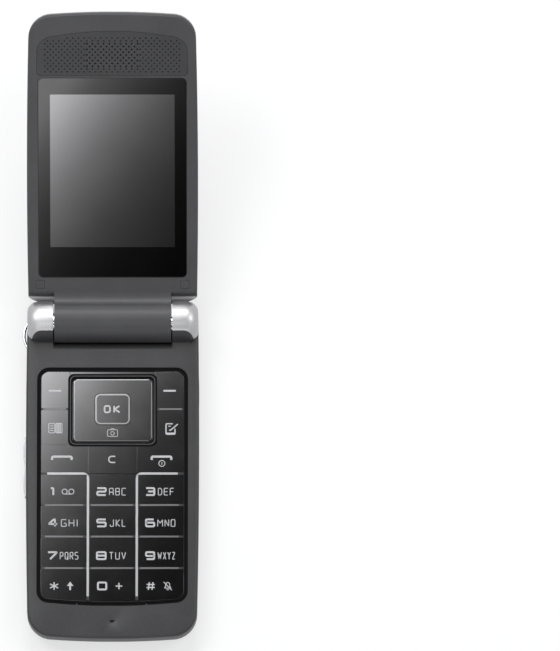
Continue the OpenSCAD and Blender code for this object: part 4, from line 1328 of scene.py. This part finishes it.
@dataclass
class Keypad:
    """The key panel: caps, dividers, channel and the navigation key."""

    dresser: Dresser
    hinge: HingeFrame
    face_z: float = 8.15
    nav_size: Point2 = (22.0, 17.8)
    nav_y: float = -25.2
    nav_face_z: float = 8.05
    nav_corner: float = 1.2
    nav_edge: float = 0.32
    channel_rise: float = 0.09
    hair: float = 0.004
    strip_half_x: float = 11.92
    strip_y: Point2 = (-14.27, -15.28)
    sign_y: float = -31.75
    sign_half: Point2 = (1.4, 0.95)
    ok_size: Point2 = (9.8, 8.8)
    ok_y: float = -24.9
    ok_corner: float = 1.5
    ok_clear: float = 0.15
    ok_rise: float = 0.05
    outline_w: float = 0.34
    ticks_x: tuple[float, ...] = (-17.9, -9.9, 9.6, 16.9)
    tick_y: float = -80.9
    key_grow: float = 0.06
    keys: tuple[str, ...] = (
        "key_soft_left", "key_contacts", "key_send", "key_clear", "key_end", "key_tasks", "key_soft_right",
        "key_1", "key_2", "key_3", "key_4", "key_5", "key_6", "key_7", "key_8", "key_9",
        "key_star", "key_0", "key_hash",
    )

    def build(self) -> None:
        """Builds and dresses the whole keypad."""
        for name in self.keys:
            self._key(name)
        # The bezel and the surround take the near-black channel finish, which is partly painted shade of the
        # grooves round the keys.
        self.dresser.dress(["keypad_bezel"], Finish.CHANNEL_PAINTED_SHADE, 0.04)
        self.dresser.dress(["keypad_dividers"], DividerMetal("divider_metal", self.hinge.axis_y), 0.08)
        self.dresser.dress(["nav_surround"], Finish.CHANNEL_PAINTED_SHADE, 0.05)
        self._nav_channel()
        self.dresser.dress(["key_mat"], Finish.RUBBER)
        self.dresser.dress(["dome_sheet"], Finish.FILM)
        self.dresser.dress(["nav_pivot"], Finish.BRIGHT)
        self._navigation_key()
        self._centre_key()
        self._ticks()
        Legends(self.face_z, self.hinge.base()).build()

    def _key(self, name: str) -> None:
        """Builds a key's cap from its node, grown a little so that the splits beside it close to a hair.

        Args:
            name: the key's node and body.
        """
        mesh = self.dresser.nodes[name].data.copy()
        mesh.name = "cap_" + name
        low, high = (Vector(corner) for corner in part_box(name))
        middle = (low + high) / 2
        half = (high - low) / 2
        grow = Matrix.Diagonal((1 + self.key_grow * MM / half.x, 1 + self.key_grow * MM / half.y, 1, 1))
        mesh.transform(Matrix.Translation(middle) @ grow @ Matrix.Translation(-middle))
        cap = bpy.data.objects.new(mesh.name, mesh)
        bpy.context.collection.objects.link(cap)
        self.dresser.finish(cap, Finish.GLOSS, 0.04)
        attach(cap, name)
        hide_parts(name)

    def _add(self, name: str, shape: Shape, finish: Finish, body: str,
             smooth: bool = False) -> None:
        """Adds a piece that is drawn in the base's millimetres.

        Args:
            name: its name.
            shape: its points and faces.
            finish: its finish.
            body: the body that it rides on.
            smooth: whether it is shaded smooth between edges.
        """
        add_piece(name, shape, finish, body, self.hinge.base(), smooth)

    def _nav_outline(self, inset: float) -> list[Point2]:
        """Gives the navigation key's outline.

        Args:
            inset: how far it is moved inwards.

        Returns:
            The points, anticlockwise.
        """
        width, length = self.nav_size
        radius = self.nav_corner - 0.3 * inset
        return rounded_rect(width - 2 * inset, length - 2 * inset, radius, (0, self.nav_y))

    def _nav_channel(self) -> None:
        """Adds the near-black channel round the navigation key, a raised ring whose dark is partly painted
        shade of the gap, the line within it, and the strip above it.
        """
        top = self.face_z + self.channel_rise
        foot = self.face_z + self.hair
        channel = Shape().collar(self._nav_outline, [
            (-0.42, foot), (-0.42, top - 0.03), (-0.5, top), (-1.42, top), (-1.5, top - 0.03), (-1.5, foot),
        ])
        self._add("nav_channel", channel, Finish.CHANNEL_PAINTED_SHADE, "base", smooth=True)
        line = Shape().collar(self._nav_outline, [
            (-0.76, top - 0.02), (-0.76, top + 0.012), (-0.96, top + 0.012), (-0.96, top - 0.02),
        ])
        self._add("nav_channel_line", line, Finish.CHANNEL_LINE, "base")
        half_x, (high, low) = self.strip_half_x, self.strip_y
        outline = [(-half_x, low), (half_x, low), (half_x, high), (-half_x, high)]
        strip = Shape().prism(outline, foot - 0.3, self.face_z)
        self._add("nav_strip", strip, Finish.GLOSS, "base")

    def _navigation_key(self) -> None:
        """Dresses the four-way key and adds the camera sign on it."""
        self.dresser.dress(["nav_key"], Finish.NAV_GLOSS, self.nav_edge)
        sign = Shape()
        pen = Pen(0.22, 0.3)
        half_w, half_h = self.sign_half
        low, high = self.sign_y - half_h, self.sign_y + half_h
        frame = [(-half_w, low), (half_w, low), (half_w, high), (-half_w, high)]
        pen.draw(sign, frame, self.nav_face_z, True)
        pen.draw(sign, circle(0.5, (0, self.sign_y - 0.05), 20), self.nav_face_z, True, 1)
        hump = [(-0.55, high), (-0.35, self.sign_y + 1.25), (0.35, self.sign_y + 1.25), (0.55, high)]
        pen.draw(sign, hump, self.nav_face_z, layer=2)
        self._add("nav_key_sign", sign, Finish.OUTLINE, "nav_key")

    def _ok_outline(self, inset: float) -> list[Point2]:
        """Gives the centre key's outline.

        Args:
            inset: how far it is moved inwards.

        Returns:
            The points, anticlockwise.
        """
        width, length = self.ok_size
        radius = max(self.ok_corner - inset, 0.2)
        return rounded_rect(width - 2 * inset, length - 2 * inset, radius, (0, self.ok_y))

    def _centre_key(self) -> None:
        """Dresses the centre key, and adds its outline, its letters and the flat rim round it."""
        flat = self.nav_face_z + self.hair
        inner, outer = -self.ok_clear - 0.02, -0.7
        rim = Shape().collar(self._ok_outline, [
            (inner, flat - 0.02), (inner, flat), (outer, flat), (outer, flat - 0.02),
        ])
        self._add("nav_key_rim", rim, Finish.NAV_GLOSS, "nav_key")
        top = self.nav_face_z + self.ok_rise
        self.dresser.dress(["ok_key"], Finish.NAV_GLOSS, 0.16)
        outline = Shape().collar(self._ok_outline, [
            (0.1, top - 0.1), (0.1, top + 0.01), (0.2, top + 0.035), (0.1 + self.outline_w, top + 0.035),
            (0.2 + self.outline_w, top - 0.1),
        ])
        self._add("ok_key_outline", outline, Finish.OUTLINE, "ok_key", smooth=True)
        letters = Shape()
        Pen(0.46, 0.6).write(letters, "OK", (-2.5, 2.2), (self.ok_y - 1.15, self.ok_y + 1.15), top)
        self._add("ok_key_letters", letters, Finish.LEGEND, "ok_key")

    def _ticks(self) -> None:
        """Adds the four faint marks in the channel under the number keys."""
        shape = Shape()
        for x in self.ticks_x:
            outline = rounded_rect(0.34, 0.8, 0.14, (x, self.tick_y), 4)
            shape.prism(outline, self.face_z - 0.15, self.face_z + 0.165)
        self._add("channel_ticks", shape, Finish.CHANNEL_LINE, "base")


# ---------------------------------------------------------------- base shells


@dataclass
class Base:
    """The base's shells, hinge caps, side pieces and screws."""

    dresser: Dresser
    volume_edge: float = 0.2
    cover_edge: float = 0.12
    screw_edge: float = 0.06

    def build(self) -> None:
        """Dresses each piece."""
        self.dresser.dress(["front_housing", "rear_housing", "battery_cover"], Finish.HOUSING)
        self.dresser.dress(["hinge_cap_left", "hinge_cap_right"], Finish.SILVER)
        self.dresser.dress(["strap_loop"], Finish.BRIGHT, angle=Angle.SOFT)
        self.dresser.dress(["volume_key"], Finish.SILVER, self.volume_edge)
        self.dresser.dress(["card_cover", "connector_cover"], Finish.MOULDING, self.cover_edge)
        self.dresser.dress(["housing_screws"], Finish.BRIGHT, self.screw_edge)


@dataclass
class Inside:
    """The parts within the base, the hinge and the lid."""

    dresser: Dresser
    finishes: tuple[tuple[Finish, tuple[str, ...]], ...] = (
        (Finish.BOARD, ("main_board",)),
        (Finish.BATTERY, ("battery",)),
        (Finish.GOLD, ("battery_contacts",)),
        (Finish.BRIGHT, ("sim_holder", "card_socket", "connector_socket", "hinge_shaft", "hinge_pin")),
        (Finish.SILVER, ("vibration_motor", "hinge_cartridge")),
        (Finish.MOULDING, ("speaker_module", "microphone", "earpiece", "camera_module")),
        (Finish.PANEL, ("display_panel",)),
    )

    def build(self) -> None:
        """Dresses each part."""
        for finish, names in self.finishes:
            self.dresser.dress(names, finish)


# ---------------------------------------------------------------- the lid


@dataclass
class Lid:
    """The display half: shells, window, screen, earpiece panel, outer plate and camera."""

    dresser: Dresser
    hinge: HingeFrame
    window_z: float = 8.65
    screen: Point2 = (34.9, 43.6)
    screen_y: float = -43.3
    camera_y: float = -2.7
    glass_z: float = 14.6
    lens_r: float = 2.6
    lens_rise: float = 0.16
    lens_turns: tuple[float, ...] = (0.0, 0.35, 0.7, 1.05, 1.35, 1.53)
    dimple_pitch: Point2 = (1.57, 0.8)
    dimple_d: float = 0.5
    first_row_y: float = -71.6
    dimple_rows: int = 14
    dimple_columns: int = 25
    panel_end_y: float = -82.4
    panel_bow: float = 1.6
    panel_half: float = 21.0
    panel_margin: float = 0.6
    through_x: float = 7.4
    through_y: Point2 = (-79.9, -72.9)

    def build(self) -> None:
        """Builds and dresses the whole lid."""
        plate = BrushedMetal("brushed_metal", (0.37, 0.37, 0.375), self.hinge.turn)
        # The lid frame and the screw covers wear the lighter copy of the base's plastic: painted light.
        self.dresser.dress(["lid_inner_housing"], Finish.LID_FRAME_PAINTED_LIGHTER)
        self.dresser.dress(["lid_outer_housing"], Finish.SILVER, angle=Angle.SOFT)
        self.dresser.dress(["lid_plate"], plate, 0.16)
        self.dresser.dress(["display_window"], Finish.GLASS, 0.1)
        self.dresser.dress(["camera_bezel"], Finish.BRIGHT, 0.25, Angle.SOFT)
        self.dresser.dress(["camera_window"], Finish.LENS, 0.12)
        self.dresser.dress(["screw_covers"], Finish.LID_FRAME_PAINTED_LIGHTER, 0.06)
        self.dresser.dress(["earpiece_grille"], Finish.HOUSING, 0.08)
        self._screen()
        self._lens()
        self._dimples()

    def _screen(self) -> None:
        """Adds the lit area as a thin sheet on the window."""
        outline = rounded_rect(*self.screen, 0.25, (0, self.screen_y), 3)
        shape = Shape().prism(outline, self.window_z + 0.05, self.window_z - 0.012)
        add_piece("screen", shape, Screen("display_screen", self.hinge.turn), "lid",
                  self.hinge.lid())

    def _lens(self) -> None:
        """Adds the rings and the domed lens over the camera."""
        centre = (0.0, self.camera_y)
        z = self.glass_z
        ring = Shape()
        for radius, width in ((2.95, 0.16), (1.75, 0.1)):
            section = ((-width, -0.02), (-width, 0.02), (0, 0.06), (width, 0.02), (width, -0.02))
            ring.rings([
                [(x, y, z + rise) for x, y in circle(radius + step, centre, 48)] for step, rise in section
            ], capped=False)
        add_piece("camera_rings", ring, Finish.BRIGHT, "lid", self.hinge.lid(), smooth=True)
        dome = [
            (self.lens_r * math.cos(turn), z + self.lens_rise * math.sin(turn)) for turn in self.lens_turns
        ]
        lens = Shape().lathe([(self.lens_r - 0.05, z - 0.05)] + dome, centre, 48)
        add_piece("camera_lens", lens, Finish.LENS, "lid", self.hinge.lid(), smooth=True)

    def _dimples(self) -> None:
        """Adds the rows of perforations on the earpiece panel, as thin near-black discs whose dark is painted
        shade of the holes.
        """
        shape = Shape()
        foot, top = self.window_z + 0.05, self.window_z - 0.004
        for row in range(self.dimple_rows):
            y = self.first_row_y - row * self.dimple_pitch[1]
            count = self.dimple_columns - row % 2
            for column in range(count):
                x = (column - (count - 1) / 2) * self.dimple_pitch[0]
                if self._on_panel(x, y):
                    shape.prism(circle(self.dimple_d / 2, (x, y), 10), foot, top)
        add_piece("earpiece_dimples", shape, Finish.HOLE_PAINTED_SHADE, "lid", self.hinge.lid())

    def _on_panel(self, x: float, y: float) -> bool:
        """Returns whether a perforation lies on the panel and off the through holes.

        Args:
            x: its place across the lid.
            y: its place along the lid.

        Returns:
            True where a perforation belongs.
        """
        lower = self.panel_end_y + self.panel_bow * (x / self.panel_half) ** 2
        corner_x, corner_rise, corner_r = 16.6, 4.2, 3.9
        past = abs(x) - corner_x
        in_corner = past > 0 and y < lower + 4.0
        cut_off = in_corner and math.hypot(past, y - (lower + corner_rise)) > corner_r
        through = abs(x) < self.through_x and self.through_y[0] < y < self.through_y[1]
        return y > lower + self.panel_margin and not cut_off and not through


# ---------------------------------------------------------------- studio


def square_sheet(name: str, half: float, height: float, material: bpy.types.Material) -> bpy.types.Object:
    """Makes a square sheet that faces up.

    Args:
        name: its name.
        half: half its width in metres.
        height: its height in metres.
        material: its material.

    Returns:
        The sheet, in the scene.
    """
    mesh = bpy.data.meshes.new(name)
    corners = [(x * half, y * half, height) for x, y in ((-1, -1), (1, -1), (1, 1), (-1, 1))]
    mesh.from_pydata(corners, [], [(0, 1, 2, 3)])
    mesh.materials.append(material)
    sheet = bpy.data.objects.new(name, mesh)
    bpy.context.collection.objects.link(sheet)
    return sheet


@dataclass
class Studio:
    """Camera, lights, cards and floor."""

    pixels_per_mm: float = 3.559
    frame_height: int = 651
    distance: float = 4.0
    lean: float = math.radians(12)
    phone_px: float = 112.8
    frame_px: float = 280.0
    hinge_px: float = 322.0
    middle_px: float = 325.5
    sensor: float = 36.0
    sky_strength: float = 0.5
    floor_half: float = 4.0
    floor_z: float = -2e-4
    lamp_size: float = 0.5
    lamp_target: Point3 = (0.0, 0.04, 0.01)
    lamps: tuple[tuple[str, Point3, float], ...] = (
        ("key", (-0.55, 0.5, 0.95), 5.0),
        ("fill", (0.7, 0.3, 0.85), 2.6),
        ("back", (0.0, 0.95, 0.85), 6.0),
        ("front", (0.0, -0.85, 0.6), 0.9),
    )
    card_size: float = 0.34
    card_away: float = 0.6
    pad_centre: Point3 = (-0.007, -0.004, 0.008)
    window_centre: Point3 = (-0.007, 0.085, 0.027)
    pad_glow: tuple[Point2, ...] = (
        (0.42, 0.04), (0.46, 0.075), (0.5, 0.24), (0.53, 0.75), (0.55, 1.6), (0.573, 3.6),
    )
    window_glow: tuple[Point2, ...] = (
        (0.42, 0.025), (0.4375, 0.05), (0.466, 0.09), (0.495, 0.21), (0.525, 0.63), (0.552, 1.5),
        (0.566, 2.9),
    )

    def build(self, hinge: HingeFrame) -> None:
        """Builds the studio.

        Args:
            hinge: the hinge axis, which the camera is placed by.
        """
        self._camera(hinge)
        self._world()
        self._floor()
        self._lamps()
        self._card("keypad_card", Vector(self.pad_centre), -self.lean, self.pad_glow)
        self._card("window_card", Vector(self.window_centre), 3 * self.lean, self.window_glow)

    def _camera(self, hinge: HingeFrame) -> None:
        """Places the camera at the photograph's angle.

        Args:
            hinge: the hinge axis.
        """
        back = Vector((0, -math.sin(self.lean), math.cos(self.lean)))
        up = Vector((0, math.cos(self.lean), math.sin(self.lean)))
        axis = Vector((0, hinge.axis_y, hinge.axis_z)) * MM
        across = (self.frame_px - self.phone_px) / self.pixels_per_mm * MM
        down = (self.middle_px - self.hinge_px) / self.pixels_per_mm * MM
        target = axis + Vector((across, 0, 0)) - up * down
        data = bpy.data.cameras.new("camera")
        data.lens = self.sensor * self.distance / (self.frame_height / self.pixels_per_mm * MM)
        data.sensor_width = self.sensor
        data.clip_end = 5 * self.distance
        camera = bpy.data.objects.new("camera", data)
        turn = Matrix((Vector((1, 0, 0)), up, back)).transposed().to_4x4()
        camera.matrix_world = Matrix.Translation(target + back * self.distance) @ turn
        bpy.context.collection.objects.link(camera)
        bpy.context.scene.camera = camera

    def _world(self) -> None:
        """Lights the scene softly from all round, and shows white behind it."""
        graph = Graph("studio", bpy.data.worlds)
        soft, white = (
            graph.add("ShaderNodeBackground", {}, {"Color": colour, "Strength": strength})
            for colour, strength in (((0.93, 0.95, 1.0, 1.0), self.sky_strength), ((1.0, 1.0, 1.0, 1.0), 1.0))
        )
        mixed = graph.add("ShaderNodeMixShader", {}, {0: graph.direct_rays(), 1: soft, 2: white})
        bpy.context.scene.world = graph.finished(mixed, "ShaderNodeOutputWorld")

    def _floor(self) -> None:
        """Lays the pale floor that takes the shadow."""
        graph = Graph("floor")
        at = graph.add("ShaderNodeTexCoord", {}, {}, "Object")
        away = (at.part("X") ** 2.0 + at.part("Y") ** 2.0) ** 0.5
        white = graph.ramp(away * 0.5, (0.12, 0.62), (0.6, 1.0))
        glow = graph.add("ShaderNodeEmission", {}, {"Color": (1.0, 1.0, 1.0, 1.0), "Strength": 1.0})
        pale = graph.blend(graph.noise(at, 3.0) * 0.05, (0.9, 0.9, 0.9), (0.86, 0.86, 0.86))
        paint = graph.add("ShaderNodeBsdfDiffuse", {}, {"Color": pale})
        mixed = graph.add("ShaderNodeMixShader", {}, {0: graph.direct_rays() * white, 1: paint, 2: glow})
        floor = square_sheet("floor", self.floor_half, self.floor_z, graph.finished(mixed))

    def _lamps(self) -> None:
        """Hangs the soft lamps, all aimed at the phone."""
        for name, place, power in self.lamps:
            data = bpy.data.lights.new(name, "AREA")
            data.shape = "SQUARE"
            data.size = self.lamp_size
            data.energy = power
            lamp = bpy.data.objects.new(name, data)
            bpy.context.collection.objects.link(lamp)
            lamp.location = place
            lamp.rotation_mode = "QUATERNION"
            lamp.rotation_quaternion = (Vector(self.lamp_target) - Vector(place)).to_track_quat("-Z", "Y")

    def _card(self, name: str, target: Vector, lean: float, glow: Sequence[Point2]) -> None:
        """Hangs a card that the panel or the window reflects, bright at its upper left.

        Args:
            name: its name.
            target: what it faces.
            lean: how far its line to the target leans towards the keypad's end.
            glow: places along its slant, from 0 to 1, with the glow at each.
        """
        bright = glow[-1][1]
        graph = Graph(name)
        at = graph.add("ShaderNodeTexCoord", {}, {}, "Generated")
        along = (at.part("Y") - 0.5) * 0.425 - (at.part("X") - 0.5) * 0.575 + 0.5
        shade = graph.ramp(along, *((step, level / bright) for step, level in glow))
        shine = graph.add("ShaderNodeEmission", {}, {"Color": shade, "Strength": bright})
        card = square_sheet(name, self.card_size / 2, 0.0, graph.finished(shine))
        normal = Vector((0, -math.sin(lean), math.cos(lean)))
        across = Vector((1, 0, 0))
        turn = Matrix((across, normal.cross(across), normal)).transposed().to_4x4()
        card.matrix_world = Matrix.Translation(target + normal * self.card_away) @ turn
        card.visible_camera = False
        card.visible_diffuse = False
        card.visible_shadow = False


def main() -> None:
    """Builds the phone's pieces in order, then the studio."""
    logging.basicConfig(level=logging.INFO, format="%(name)s: %(message)s")
    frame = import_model()
    hinge = HingeFrame.read(frame["joints"])
    dresser = Dresser(frame["nodes"])
    Base(dresser).build()
    Inside(dresser).build()
    Keypad(dresser, hinge).build()
    Lid(dresser, hinge).build()
    Studio().build(hinge)
    bpy.context.scene.view_settings.view_transform = "Standard"


if __name__ == "__main__":
    main()
